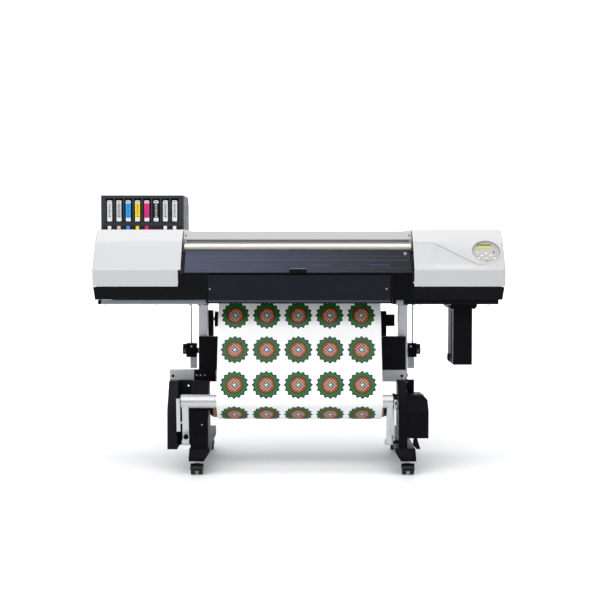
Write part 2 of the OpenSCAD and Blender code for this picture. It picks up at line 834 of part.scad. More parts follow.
base_frame();
lower_mouldings();
left_cover();
right_cover();
top_cover();
rear_cover();
front_panel();
control_panel();
ink_bay();
waste_box();
guide_rail();
carriage_drive();
platen();
cap_station();
stand_frame();
cross_panel();
feet();
leg_covers();
dancer_guard();
takeup_drive();
feed_frame();
fasteners();
media_web();
front_cover();
front_window();
print_carriage();
blade_holder();
grit_roller();
pinch_arms();
pinch_wheels();
loading_lever();
dancer();
takeup_core();
supply_roll();
clamp_levers();
for (i = [0 : cartridge_count - 1])
    cartridge(i);
for (i = [0 : len(key_spots) - 1])
    key(i);
for (i = [0 : 3]) {
    caster_fork(i);
    caster_wheels(i);
}
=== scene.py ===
import json
import math

import bmesh
import bpy
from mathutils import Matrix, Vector


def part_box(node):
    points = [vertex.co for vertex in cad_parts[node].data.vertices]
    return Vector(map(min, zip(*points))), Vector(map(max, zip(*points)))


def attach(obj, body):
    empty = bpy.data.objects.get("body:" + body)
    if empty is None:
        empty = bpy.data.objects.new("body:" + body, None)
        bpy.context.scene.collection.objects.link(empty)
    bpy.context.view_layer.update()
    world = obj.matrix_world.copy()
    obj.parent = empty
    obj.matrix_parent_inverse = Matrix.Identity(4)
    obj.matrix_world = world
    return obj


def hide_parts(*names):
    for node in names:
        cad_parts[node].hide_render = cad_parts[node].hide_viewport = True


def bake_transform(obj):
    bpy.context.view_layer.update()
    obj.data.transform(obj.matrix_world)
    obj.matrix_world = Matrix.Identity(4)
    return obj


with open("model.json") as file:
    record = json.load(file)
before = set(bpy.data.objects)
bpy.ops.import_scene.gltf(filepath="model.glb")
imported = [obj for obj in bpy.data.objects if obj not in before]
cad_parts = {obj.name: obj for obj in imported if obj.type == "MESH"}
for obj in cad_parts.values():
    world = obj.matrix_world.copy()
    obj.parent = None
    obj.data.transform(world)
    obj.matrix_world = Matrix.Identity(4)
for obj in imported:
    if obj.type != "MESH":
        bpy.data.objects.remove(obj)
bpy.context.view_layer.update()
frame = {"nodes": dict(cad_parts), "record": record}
SLOTS = {row["node"]: row["material_slot"] for row in frame["record"]["subparts"]}
JOINTS = {row["name"]: row for row in frame["record"]["behaviour"]["joints"]}
MM = 0.001
COLUMN_PITCH, ROW_PITCH = 0.1472, 0.1673
WEB_THICKNESS, SHELL_THICKNESS = 0.0008, 0.0032


# ---------- materials ----------
class Look:
    """A procedural material, built node by node on a Principled shader."""

    def __init__(self, name):
        self.material = bpy.data.materials.new(name)
        self.material.use_nodes = True
        self.tree = self.material.node_tree
        self.shader = self.tree.nodes["Principled BSDF"]

    def put(self, socket, value):
        if isinstance(value, bpy.types.NodeSocket):
            self.tree.links.new(value, socket)
        elif value is not None:
            socket.default_value = value

    def set(self, **values):
        for name, value in values.items():
            self.put(self.shader.inputs[name.replace("_", " ")], value)
        return self

    def node(self, kind, **settings):
        made = self.tree.nodes.new(kind)
        for key, value in settings.items():
            setattr(made, key, value)
        return made

    def math(self, operation, a, b=None, c=None):
        made = self.node("ShaderNodeMath", operation=operation)
        for socket, value in zip(made.inputs, (a, b, c)):
            self.put(socket, value)
        return made.outputs[0]

    def times(self, a, b):
        return self.math("MULTIPLY", a, b)

    def mix(self, share, a, b):
        made = self.node("ShaderNodeMix", data_type="RGBA")
        self.put(made.inputs[0], share)
        self.put(made.inputs[6], a)
        self.put(made.inputs[7], b)
        return made.outputs[2]

    def place(self, stretch=(1, 1, 1)):
        coords = self.node("ShaderNodeTexCoord")
        mapping = self.node("ShaderNodeMapping")
        mapping.inputs["Scale"].default_value = stretch
        self.tree.links.new(coords.outputs["Object"], mapping.inputs["Vector"])
        return mapping.outputs[0]

    def noise(self, scale, detail=3, stretch=(1, 1, 1)):
        made = self.node("ShaderNodeTexNoise")
        self.put(made.inputs["Vector"], self.place(stretch))
        made.inputs["Scale"].default_value = scale
        made.inputs["Detail"].default_value = detail
        return made.outputs["Fac"]

    def span(self, value, low, high, out_low, out_high):
        made = self.node("ShaderNodeMapRange")
        for socket, number in zip(made.inputs, (value, low, high, out_low, out_high)):
            self.put(socket, number)
        return made.outputs[0]

    def rough(self, scale, detail, low, high):
        """Roughness that varies with noise between low and high."""
        return self.set(Roughness=self.span(self.noise(scale, detail), 0.3, 0.7, low, high))

    def band(self, value, low, high):
        """1 where the value lies between low and high."""
        over = self.math("GREATER_THAN", value, low)
        return self.times(over, self.math("LESS_THAN", value, high))

    def position(self):
        coords = self.node("ShaderNodeTexCoord")
        split = self.node("ShaderNodeSeparateXYZ")
        self.tree.links.new(coords.outputs["Object"], split.inputs[0])
        return split.outputs

    def bump(self, height, depth, strength=1.0):
        made = self.node("ShaderNodeBump")
        made.inputs["Strength"].default_value = strength
        made.inputs["Distance"].default_value = depth
        self.put(made.inputs["Height"], height)
        self.put(self.shader.inputs["Normal"], made.outputs[0])
        return self


def rgb(*values):
    return (*values, 1.0)


def shade(colour, factor):
    return rgb(*[min(1.0, c * factor) for c in colour])


def moulded(name, colour, rough=0.45, grain=1100, depth=0.00004, vary=0.08, coat=0.0, shine=0.25):
    """Moulded plastic: a fine spark-eroded grain, faint cloudiness and paler rubbed edges."""
    look = Look(name)
    cloud = look.noise(6, 4)
    edge = look.span(look.node("ShaderNodeNewGeometry").outputs["Pointiness"], 0.5, 0.62, 0, 1)
    body = look.mix(cloud, shade(colour, 1 - vary), shade(colour, 1 + vary))
    look.set(Base_Color=look.mix(look.times(edge, 0.25), body, shade(colour, 1.7)))
    look.rough(40, 5, rough - 0.06, rough + 0.06)
    look.set(Specular_IOR_Level=shine)
    if coat:
        look.set(Coat_Weight=coat, Coat_Roughness=0.12)
    return look.bump(look.noise(grain, 2), depth).material


def painted(name, colour, rough=0.4, depth=0.00003, shine=0.22):
    """Powder-coated sheet metal: orange peel, dust-dull patches and slightly worn edges."""
    look = Look(name)
    patch = look.noise(9, 5)
    edge = look.span(look.node("ShaderNodeNewGeometry").outputs["Pointiness"], 0.51, 0.6, 0, 0.35)
    body = look.mix(patch, shade(colour, 0.93), shade(colour, 1.08))
    look.set(Base_Color=look.mix(edge, body, shade(colour, 1.5)), Metallic=0.0)
    look.rough(25, 6, rough - 0.07, rough + 0.07)
    look.set(Specular_IOR_Level=shine)
    return look.bump(look.noise(620, 2), depth).material


def brushed(name, colour, rough=0.3, stretch=(4, 300, 300), metallic=1.0, depth=0.00002):
    """Metal with fine drawn lines along one axis."""
    look = Look(name)
    lines = look.noise(6, 6, stretch)
    look.set(Base_Color=look.mix(lines, shade(colour, 0.88), shade(colour, 1.1)), Metallic=metallic)
    look.set(Roughness=look.span(lines, 0.3, 0.7, rough - 0.06, rough + 0.08))
    return look.bump(lines, depth, 0.6).material


def tinted_window():
    """Smoked sheet, paler to the left as a painted reflection, with a row of faint position marks moulded
    into it.
    """
    look = Look("tinted_acrylic")
    x, _, z = look.position()
    # painted reflection: the tint runs from pale at the left to dark at the right
    side = look.span(x, -0.5, 0.5, 1, 0)
    haze = look.noise(2.2, 3, (1, 2, 3))
    deep = look.mix(haze, rgb(0.0035, 0.004, 0.0085), rgb(0.006, 0.0068, 0.013))
    pale = look.mix(haze, rgb(0.04, 0.047, 0.078), rgb(0.055, 0.065, 0.102))
    body = look.mix(side, deep, pale)
    # faint lines of the rail seen through the sheet
    line = look.band(z, 0.985, 0.9885)
    line = look.math("MAXIMUM", line, look.band(z, 1.004, 1.006))
    line = look.math("MAXIMUM", line, look.band(z, 0.95, 0.9515))
    body = look.mix(look.times(line, 0.28), body, rgb(0.1, 0.12, 0.16))
    step = look.math("FRACT", look.times(x, 1 / 0.27))
    mark = look.times(look.band(step, 0.2, 0.55), look.band(z, 0.9615, 0.9672))
    body = look.mix(look.times(mark, 0.35), body, rgb(0.05, 0.06, 0.2))
    look.set(Base_Color=body, Alpha=0.93, Specular_IOR_Level=0.14)
    look.rough(14, 5, 0.07, 0.13)
    return look.material


def label(name, centre_x, colour, ink):
    """A cartridge label: pale ends, a coloured middle and a column of small dashes."""
    look = Look(name)
    x, _, z = look.position()
    off = look.math("SUBTRACT", x, centre_x)
    width = look.math("ABSOLUTE", off)
    middle = look.times(look.band(z, 1.187, 1.257), look.band(width, -1, 0.0125))
    base = look.mix(look.noise(30, 3), rgb(0.74, 0.75, 0.77), rgb(0.8, 0.81, 0.83))
    body = look.mix(middle, base, colour)
    beat = look.math("FRACT", look.times(z, 1 / 0.0085))
    long = look.math("FRACT", look.times(z, 1 / 0.0273))
    reach = look.span(long, 0, 1, 0.0028, 0.0056)
    dash = look.times(look.band(beat, 0.22, 0.8), look.band(z, 1.19, 1.254))
    dash = look.times(dash, look.math("LESS_THAN", width, reach))
    body = look.mix(look.times(dash, 0.85), body, ink)
    rim = look.times(look.band(z, 1.258, 1.2592), look.band(width, -1, 0.008))
    body = look.mix(look.times(rim, 0.6), body, rgb(0.1, 0.1, 0.1))
    look.set(Base_Color=body).rough(60, 3, 0.36, 0.46)
    return look.bump(look.noise(800, 2), 0.00002).material


def printed_vinyl():
    """White vinyl with rows of plain rosettes; run is the length along the web from the bed's edge."""
    look = Look("printed_vinyl")
    x = look.position()[0]
    run = look.node("ShaderNodeAttribute", attribute_name="run").outputs["Fac"]
    column = look.math("ADD", look.times(x, 1 / COLUMN_PITCH), 0.5 + 0.003 / COLUMN_PITCH + 10)
    row = look.math("ADD", look.times(run, 1 / ROW_PITCH), 0.5 - 0.102 / ROW_PITCH + 10)
    u = look.times(look.math("SUBTRACT", look.math("FRACT", column), 0.5), COLUMN_PITCH / MM)
    v = look.times(look.math("SUBTRACT", look.math("FRACT", row), 0.5), -ROW_PITCH / MM)
    square = look.math("ADD", look.times(u, u), look.times(v, v))
    far = look.math("SQRT", square)
    turn = look.math("ARCTAN2", v, u)
    scallop = look.math("COSINE", look.times(turn, 16))

    def inside(radius):
        return look.math("LESS_THAN", far, radius)

    def both(*parts):
        made = parts[0]
        for part in parts[1:]:
            made = look.times(made, part)
        return made

    white = look.mix(look.noise(3, 3), rgb(0.865, 0.865, 0.865), rgb(0.89, 0.89, 0.888))
    wave = look.times(scallop, 4.0)
    body = look.mix(inside(look.math("ADD", 62.0, wave)), white, rgb(0.01, 0.014, 0.01))
    green = look.mix(look.span(far, 36, 62, 0, 1), rgb(0.006, 0.08, 0.014), rgb(0.011, 0.175, 0.024))
    petals = inside(look.math("ADD", 55.0, wave))
    body = look.mix(petals, body, green)
    gap = look.math("ABSOLUTE", look.math("SINE", look.times(turn, 8)))
    body = look.mix(both(look.math("LESS_THAN", gap, 0.16), petals), body, rgb(0.008, 0.02, 0.01))
    # round middle: dark line, red ring, small checks, pale button
    body = look.mix(inside(40.0), body, rgb(0.012, 0.01, 0.01))
    red = look.mix(look.noise(60, 3), rgb(0.3, 0.024, 0.006), rgb(0.43, 0.055, 0.01))
    body = look.mix(inside(36.0), body, red)
    body = look.mix(inside(30.0), body, rgb(0.05, 0.012, 0.035))
    check = both(*[look.math("SINE", look.times(way, 0.42)) for way in (u, v)])
    body = look.mix(both(inside(28.5), look.math("GREATER_THAN", check, 0.12)), body, rgb(0.66, 0.47, 0.04))
    body = look.mix(both(inside(28.5), look.math("LESS_THAN", check, -0.1)), body, rgb(0.12, 0.018, 0.19))
    body = look.mix(inside(12.0), body, rgb(0.03, 0.08, 0.3))
    body = look.mix(inside(7.0), body, rgb(0.6, 0.6, 0.57))
    # plain on the back and in the margins
    margin = look.math("LESS_THAN", look.math("ABSOLUTE", look.math("SUBTRACT", x, -0.003)), 0.3675)
    face = both(look.math("GREATER_THAN", run, 0.0), margin)
    body = look.mix(face, white, body)
    look.set(Base_Color=body).rough(40, 3, 0.34, 0.44)
    look.set(Specular_IOR_Level=0.3)
    return look.bump(look.noise(2.5, 2, (1, 0.3, 0.5)), 0.0006, 0.5).material


def display():
    """Yellow-green liquid crystal face, darkening towards its top edge by painted shade, with a painted
    shadow under that edge and rows of small blocks.
    """
    look = Look("display_face")
    x, _, z = look.position()
    # painted shade: the face darkens towards its top edge
    top_shade_ramp = look.span(z, 1.041, 1.053, 0, 1)
    body = look.mix(top_shade_ramp, rgb(0.5, 0.64, 0.13), rgb(0.38, 0.48, 0.09))
    # painted shadow: a dark band under the top edge
    body = look.mix(look.band(z, 1.054, 1.1), body, rgb(0.05, 0.07, 0.015))
    step = look.math("FRACT", look.times(x, 1 / 0.0042))
    dots = look.times(look.band(step, 0.2, 0.75), look.band(z, 1.0465, 1.0485))
    low = look.times(look.band(step, 0.2, 0.75), look.band(z, 1.0515, 1.0532))
    both = look.math("MAXIMUM", dots, low)
    body = look.mix(look.times(both, 0.5), body, rgb(0.1, 0.14, 0.02))
    look.set(Base_Color=body, Emission_Color=body, Emission_Strength=0.22, Roughness=0.16)
    look.set(Coat_Weight=0.3, Coat_Roughness=0.05)
    return look.bump(look.noise(500, 2), 0.00001).material


def cardboard():
    look = Look("core_board")
    wraps = look.node("ShaderNodeTexWave", wave_type="BANDS", bands_direction="DIAGONAL")
    look.put(wraps.inputs["Vector"], look.place())
    wraps.inputs["Scale"].default_value = 6
    wraps.inputs["Distortion"].default_value = 0.4
    fibre = look.noise(380, 4, (1, 0.3, 0.3))
    tone = look.mix(wraps.outputs["Fac"], rgb(0.3, 0.165, 0.075), rgb(0.4, 0.235, 0.115))
    look.set(Base_Color=look.mix(look.times(fibre, 0.4), tone, rgb(0.22, 0.12, 0.05)))
    look.set(Roughness=0.85)
    return look.bump(fibre, 0.00015).material


def rubber():
    look = Look("tyre_rubber")
    look.set(Base_Color=look.mix(look.noise(60, 4), rgb(0.012, 0.012, 0.013), rgb(0.03, 0.03, 0.031)))
    look.rough(90, 4, 0.5, 0.7)
    return look.bump(look.noise(900, 2), 0.00005).material


def champagne():
    """Pale gold metal: on the cover bar a bright painted highlight above and browner painted shade below;
    duller on the top cover.
    """
    look = Look("champagne_metal")
    z = look.position()[2]
    lines = look.noise(6, 6, (4, 300, 300))
    high = look.mix(lines, rgb(0.56, 0.553, 0.53), rgb(0.63, 0.623, 0.6))
    low = look.mix(lines, rgb(0.2, 0.175, 0.125), rgb(0.27, 0.235, 0.175))
    flat = look.mix(lines, rgb(0.318, 0.314, 0.302), rgb(0.368, 0.364, 0.35))
    # painted light by height: browner painted shade low on the cover bar, a bright painted highlight above it
    body = look.mix(look.span(z, 1.033, 1.05, 0, 1), low, high)
    body = look.mix(look.span(z, 1.066, 1.07, 0, 1), body, flat)
    look.set(Base_Color=body, Metallic=0.35, Specular_IOR_Level=0.4)
    look.set(Roughness=look.span(lines, 0.3, 0.7, 0.3, 0.4))
    return look.bump(lines, 0.00002, 0.6).material


def fascia():
    """Dark navy paint with a paler strip along the lower edge."""
    look = Look("fascia_navy")
    z = look.position()[2]
    patch = look.noise(9, 5)
    body = look.mix(patch, rgb(0.0085, 0.0088, 0.0138), rgb(0.0108, 0.0112, 0.017))
    body = look.mix(look.band(z, 0.7945, 0.803), body, rgb(0.055, 0.058, 0.066))
    body = look.mix(look.band(z, 0.78, 0.7925), body, rgb(0.006, 0.006, 0.007))
    look.set(Base_Color=body, Specular_IOR_Level=0.1)
    look.rough(25, 6, 0.36, 0.48)
    return look.bump(look.noise(620, 2), 0.00003).material


MATERIALS = {
    "white_cover": moulded("cover_white", (0.505, 0.505, 0.51), 0.36, 900, 0.00001, 0.012, 0.12, 0.35),
    "champagne": champagne(),
    "rear_panel": painted("rear_paint", (0.66, 0.66, 0.67), 0.45, shine=0.4),
    "frame_grey": painted("chassis_grey", (0.215, 0.245, 0.28), 0.42, shine=0.4),
    "stand_grey": brushed("column_grey", (0.47, 0.485, 0.51), 0.42, (300, 300, 4), 0.35),
    "black_moulding": moulded("black_moulding", (0.0042, 0.0044, 0.0056), 0.42, vary=0.12, shine=0.07),
    "dark_panel": painted("black_paint", (0.003, 0.0029, 0.0044), 0.44, shine=0.06),
    "guard_grey": painted("guard_paint", (0.0062, 0.0068, 0.0088), 0.44, shine=0.08),
    "bezel": moulded("bezel_grey", (0.4, 0.385, 0.36), 0.45, 1200, 0.00003, shine=0.4),
    "bay_grey": moulded("bay_slate", (0.026, 0.03, 0.034), 0.48, 700, 0.00006, shine=0.18),
    "smoked_window": tinted_window(),
    "mechanism": painted("mechanism_dark", (0.09, 0.095, 0.1), 0.45),
    "machined": brushed("drawn_aluminium", (0.55, 0.56, 0.575), 0.34, (4, 260, 260), 0.35),
    "steel": brushed("bright_steel", (0.55, 0.56, 0.58), 0.28, (200, 200, 200), 0.8),
    "rubber_wheel": rubber(),
    "board": cardboard(),
    "media": moulded("blank_vinyl", (0.8, 0.8, 0.795), 0.36, 500, 0.00001, 0.01, 0.0, 0.35),
    "lever_black": moulded("lever_black", (0.005, 0.005, 0.006), 0.35, shine=0.12),
    "cartridge_grey": moulded("cartridge_grey", (0.55, 0.55, 0.55), 0.4),
    "cartridge_cyan": moulded("cartridge_cyan", (0.005, 0.3, 0.8), 0.4),
    "cartridge_yellow": moulded("cartridge_yellow", (0.87, 0.72, 0.005), 0.4),
    "cartridge_magenta": moulded("cartridge_magenta", (0.8, 0.005, 0.2), 0.4),
    "cartridge_black": moulded("cartridge_black", (0.006, 0.006, 0.006), 0.4),
    "grip_slate": painted("grip_slate", (0.21, 0.25, 0.3), 0.35),
    "cartridge_white": moulded("cartridge_white", (0.78, 0.78, 0.8), 0.4),
    "key_white": moulded("key_white", (0.85, 0.85, 0.85), 0.35, shine=0.4),
    "key_blue": moulded("key_blue", (0.012, 0.3, 0.72), 0.3, shine=0.4),
    "caster_black": moulded("caster_black", (0.005, 0.0052, 0.006), 0.33, shine=0.25),
}
FASCIA = fascia()
VINYL = printed_vinyl()
GLASS = display()
SILVER = painted("silver_paint", (0.4, 0.42, 0.44), 0.36, shine=0.4)
# painted light: a lighter copy of the column grey, making up for the machine's shadow on the columns
LIT_COLUMN_GREY = brushed("column_silver", (0.7, 0.715, 0.745), 0.42, (300, 300, 4), 0.35)
ENTER_GREY = moulded("key_grey", (0.42, 0.42, 0.42), 0.35, shine=0.4)
LAMP_BLUE = moulded("lamp_blue", (0.01, 0.03, 0.16), 0.2, coat=0.4, shine=0.5)
TAB_STRIP = moulded("tab_strip", (0.016, 0.007, 0.007), 0.4)


# ---------- mesh helpers ----------
def arc(centre, radius, start, end, steps):
    """Points on an arc, from start to end in degrees."""
    turns = [math.radians(start + (end - start) * i / steps) for i in range(steps + 1)]
    return [(centre[0] + radius * math.cos(t), centre[1] + radius * math.sin(t)) for t in turns]


def rounded(points, radius, steps=5, closed=True):
    """The outline with each corner replaced by an arc of that radius, or less where sides are short."""
    count = len(points)
    made = []
    for i, corner in enumerate(points):
        corner = Vector(corner)
        if not closed and i in (0, count - 1):
            made.append(tuple(corner))
            continue
        before = Vector(points[i - 1]) - corner
        after = Vector(points[(i + 1) % count]) - corner
        half = before.angle(after) / 2
        size = radius[i] if isinstance(radius, (list, tuple)) else radius
        reach = min(size / math.tan(half), 0.45 * before.length, 0.45 * after.length)
        start = corner + before.normalized() * reach
        end = corner + after.normalized() * reach
        for k in range(steps + 1):
            t = k / steps
            bend = (1 - t) ** 2 * start + 2 * t * (1 - t) * corner + t**2 * end
            made.append(tuple(bend))
    return made


def resample(points, step):
    """The open polyline with no side longer than step, a length or a function of the side's start."""
    made = [points[0]]
    for a, b in zip(points, points[1:]):
        size = step(a) if callable(step) else step
        parts = max(1, math.ceil(math.dist(a, b) / size))
        made += [tuple(Vector(a).lerp(Vector(b), k / parts)) for k in range(1, parts + 1)]
    return made


def finish_mesh(mesh, name, look, smooth=35, turn_faces=True):
    """Wraps a bmesh in an object with its material, smooth except over sharp edges."""
    if turn_faces:
        bmesh.ops.recalc_face_normals(mesh, faces=mesh.faces)
    data = bpy.data.meshes.new(name)
    mesh.to_mesh(data)
    mesh.free()
    data.shade_smooth()
    data.set_sharp_from_angle(angle=math.radians(smooth))
    made = bpy.data.objects.new(name, data)
    bpy.context.scene.collection.objects.link(made)
    data.materials.append(look)
    return made


AXES = {
    "x": lambda a, b, t: (t, a, b),
    "y": lambda a, b, t: (a, t, b),
    "z": lambda a, b, t: (a, b, t),
}


def close_solid(mesh, rings):
    """Two like outlines joined into a closed solid."""
    first, last = rings
    mesh.faces.new(first[::-1])
    mesh.faces.new(last)
    for i in range(len(first)):
        k = (i + 1) % len(first)
        mesh.faces.new([first[i], first[k], last[k], last[i]])


def join_sections(mesh, sections, closed=True):
    """Walls between sections set round an axis; a closed section also joins its last point to its first."""
    count = len(sections[0])
    for i, section in enumerate(sections):
        after = sections[(i + 1) % len(sections)]
        for j in range(count if closed else count - 1):
            n = (j + 1) % count
            mesh.faces.new([section[j], after[j], after[n], section[n]])


def add_prism(mesh, outline, axis, low, high):
    """A closed solid of an outline run along an axis."""
    turn = AXES[axis]
    close_solid(mesh, [[mesh.verts.new(turn(a, b, t)) for a, b in outline] for t in (low, high)])


def add_box(mesh, low, high):
    outline = [(low[0], low[1]), (high[0], low[1]), (high[0], high[1]), (low[0], high[1])]
    add_prism(mesh, outline, "z", low[2], high[2])


def add_lathe(mesh, profile, axis, centre, sides=64):
    """A closed solid turned about an axis; the profile is (radius, place along the axis)."""
    turn = AXES[axis]
    sections = []
    for i in range(sides):
        t = 2 * math.pi * i / sides
        sections.append([
            mesh.verts.new(turn(centre[0] + radius * math.cos(t), centre[1] + radius * math.sin(t), along))
            for radius, along in profile
        ])
    join_sections(mesh, sections)


def bush(bore, radius, low, high, edge):
    """Section of a ring with chamfered outer edges."""
    return [(bore, low), (radius - edge, low), (radius, low + edge),
            (radius, high - edge), (radius - edge, high), (bore, high)]


def add_disc_rod(mesh, axis, centre, radius, low, high, edge=0.0006, sides=48):
    """A closed round bar with softened ends."""
    add_lathe(mesh, bush(0.0002, radius, low, high, edge), axis, centre, sides)


def soften(obj, width, segments=2, angle=32):
    """Rounded edges and even shading, as modifiers."""
    edges = obj.modifiers.new("edges", "BEVEL")
    edges.width = width
    edges.segments = segments
    edges.limit_method = "ANGLE"
    edges.angle_limit = math.radians(angle)
    edges.harden_normals = False
    normals = obj.modifiers.new("normals", "WEIGHTED_NORMAL")
    normals.keep_sharp = False
    return obj


def soften_node(name, width, segments=2, angle=32):
    """The same for a CAD node, whose facets are joined first."""
    obj = frame["nodes"][name]
    weld = obj.modifiers.new("weld", "WELD")
    weld.merge_threshold = 0.00001
    planar = obj.modifiers.new("planar", "DECIMATE")
    planar.decimate_type = "DISSOLVE"
    planar.angle_limit = math.radians(0.3)
    planar.delimit = {"MATERIAL", "NORMAL"}
    return soften(obj, width, segments, angle)


def piece(mesh, name, slot, body, look=None, replaces=(), bevel=0.0, smooth=35):
    """A finished piece on a body, in its slot's material unless look, a material or another slot's name, is
    given.
    """
    look = look or slot
    made = finish_mesh(mesh, name, MATERIALS[look] if isinstance(look, str) else look, smooth)
    if bevel:
        soften(made, bevel)
    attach(made, body)
    if replaces:
        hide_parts(*replaces)
    return made


def make(name, slot, body, add, parts, look=None, **more):
    """A piece of several like parts: add(mesh, *part) for each."""
    mesh = bmesh.new()
    for part in parts:
        add(mesh, *part)
    return piece(mesh, name, slot, body, look, **more)


def region(name, look, test):
    """Gives the faces of a CAD node whose middle passes the test another material."""
    data = frame["nodes"][name].data
    data.materials.append(look)
    index = len(data.materials) - 1
    for face in data.polygons:
        if test(*face.center):
            face.material_index = index


# ---------- CAD nodes: materials and rounded edges ----------
EDGE = {
    "base_frame": 0.8, "lower_mouldings": 2.0, "top_cover": 0.8, "rear_cover": 0.8, "front_panel": 1.2,
    "control_panel": 0.6, "ink_bay": 1.6, "waste_box": 0.8, "guide_rail": 1.0, "carriage_drive": 0.4,
    "platen": 0.6, "cap_station": 1.0, "stand_frame": 1.2, "cross_panel": 1.2, "feet": 1.5,
    "leg_covers": 1.5, "dancer_guard": 1.2, "takeup_drive": 1.5, "feed_frame": 1.0, "fasteners": 0.5,
    "front_cover": 1.0, "print_carriage": 2.0, "blade_holder": 0.4, "grit_roller": 0.5, "pinch_arms": 0.4,
    "pinch_wheels": 0.8, "loading_lever": 1.5, "dancer": 1.0, "clamp_levers": 1.5,
}


def dress_nodes():
    for name, obj in frame["nodes"].items():
        obj.data.materials.clear()
        obj.data.materials.append(FASCIA if name == "front_panel" else MATERIALS[SLOTS[name]])
        if name in EDGE:
            soften_node(name, EDGE[name] * MM)
        elif name.endswith("_key"):
            soften_node(name, 0.9 * MM, 3)
        elif name.startswith("caster"):
            soften_node(name, 0.7 * MM)
    region("feed_frame", SILVER, lambda x, y, z: z < 0.4865 or (z > 0.5565 and abs(x) > 0.53))
    # the columns take the lighter copy, painted light against the machine's shadow on them
    region("stand_frame", LIT_COLUMN_GREY, lambda x, y, z: z > 0.47 or z < 0.4 or y > -0.089)
    region("enter_key", ENTER_GREY, lambda x, y, z: True)
    for k in range(1, 5):
        region(f"caster_fork_{k}", MATERIALS["steel"], lambda x, y, z: z > 0.0505)


# ---------- covers ----------
def loop_normals(points):
    """Directions to the left of travel along an open outline."""
    made = []
    for i in range(len(points)):
        before = Vector(points[max(i - 1, 0)])
        after = Vector(points[min(i + 1, len(points) - 1)])
        way = (after - before).normalized()
        made.append(Vector((-way.y, way.x)))
    return made


def smoothstep(value, low, high):
    t = min(1.0, max(0.0, (value - low) / (high - low)))
    return t * t * (3 - 2 * t)


SHELL_GRID = 0.003
RELIEF_BACK = -0.19


def cover_outline(low, high):
    """Front, slopes, top and back of a side cover, as depth and height in metres."""
    y0, z0, y1, z1 = low.y, low.z, high.y, high.z
    corners = [
        (y0 + 0.006, z0), (y0, z0 + 0.076), (y0 + 0.074, z0 + 0.204),
        (y0 + 0.136, z1), (y0 + 0.536, z1), (y0 + 0.676, z0 + 0.144), (y1, z0),
    ]
    sizes = [0, 0.016, 0.01, 0.016, 0.012, 0.012, 0]
    outline = rounded(corners, sizes, 6, closed=False)
    return resample(outline, lambda start: SHELL_GRID if start[0] < RELIEF_BACK else 4 * SHELL_GRID)


def cover_relief_left(x, y, z):
    """A shallow ramped band across the left cover's front slope."""
    if y > RELIEF_BACK:
        return 0.0
    ramp = smoothstep(z, 1.0565, 1.0595) * min(1.0, max(0.0, (1.0805 - z) / 0.021))
    return -0.0045 * ramp * smoothstep(x, -0.946, -0.932)


def cover_relief_right(x, y, z):
    """A step, level and then straight down to below the panel; right of it the slopes blend."""
    if y > RELIEF_BACK:
        return 0.0
    level, lowest, bend, fall = 1.073, 0.968, 0.62, 0.512
    past = (x - bend + math.hypot(x - bend, 0.02)) / 2
    line = max(lowest, level - fall * past)
    below = 1 - smoothstep(z - line, -0.0045, 0.0005)
    depth = 0.002 + 0.0045 * smoothstep(x, 0.6, 0.65)
    step = -depth * below * (1 - smoothstep(x, 0.82, 0.9)) * smoothstep(z, 0.945, 0.975)
    # the break between the two slopes is rounded over a long stretch
    reach, radius = 0.05, 0.356
    near = max(0.0, reach - abs(z - 1.07) * 1.25)
    share = smoothstep(x, 0.64, 0.72) * (1 - smoothstep(x, 0.912, 0.938))
    return step - near**2 / (2 * radius) * share


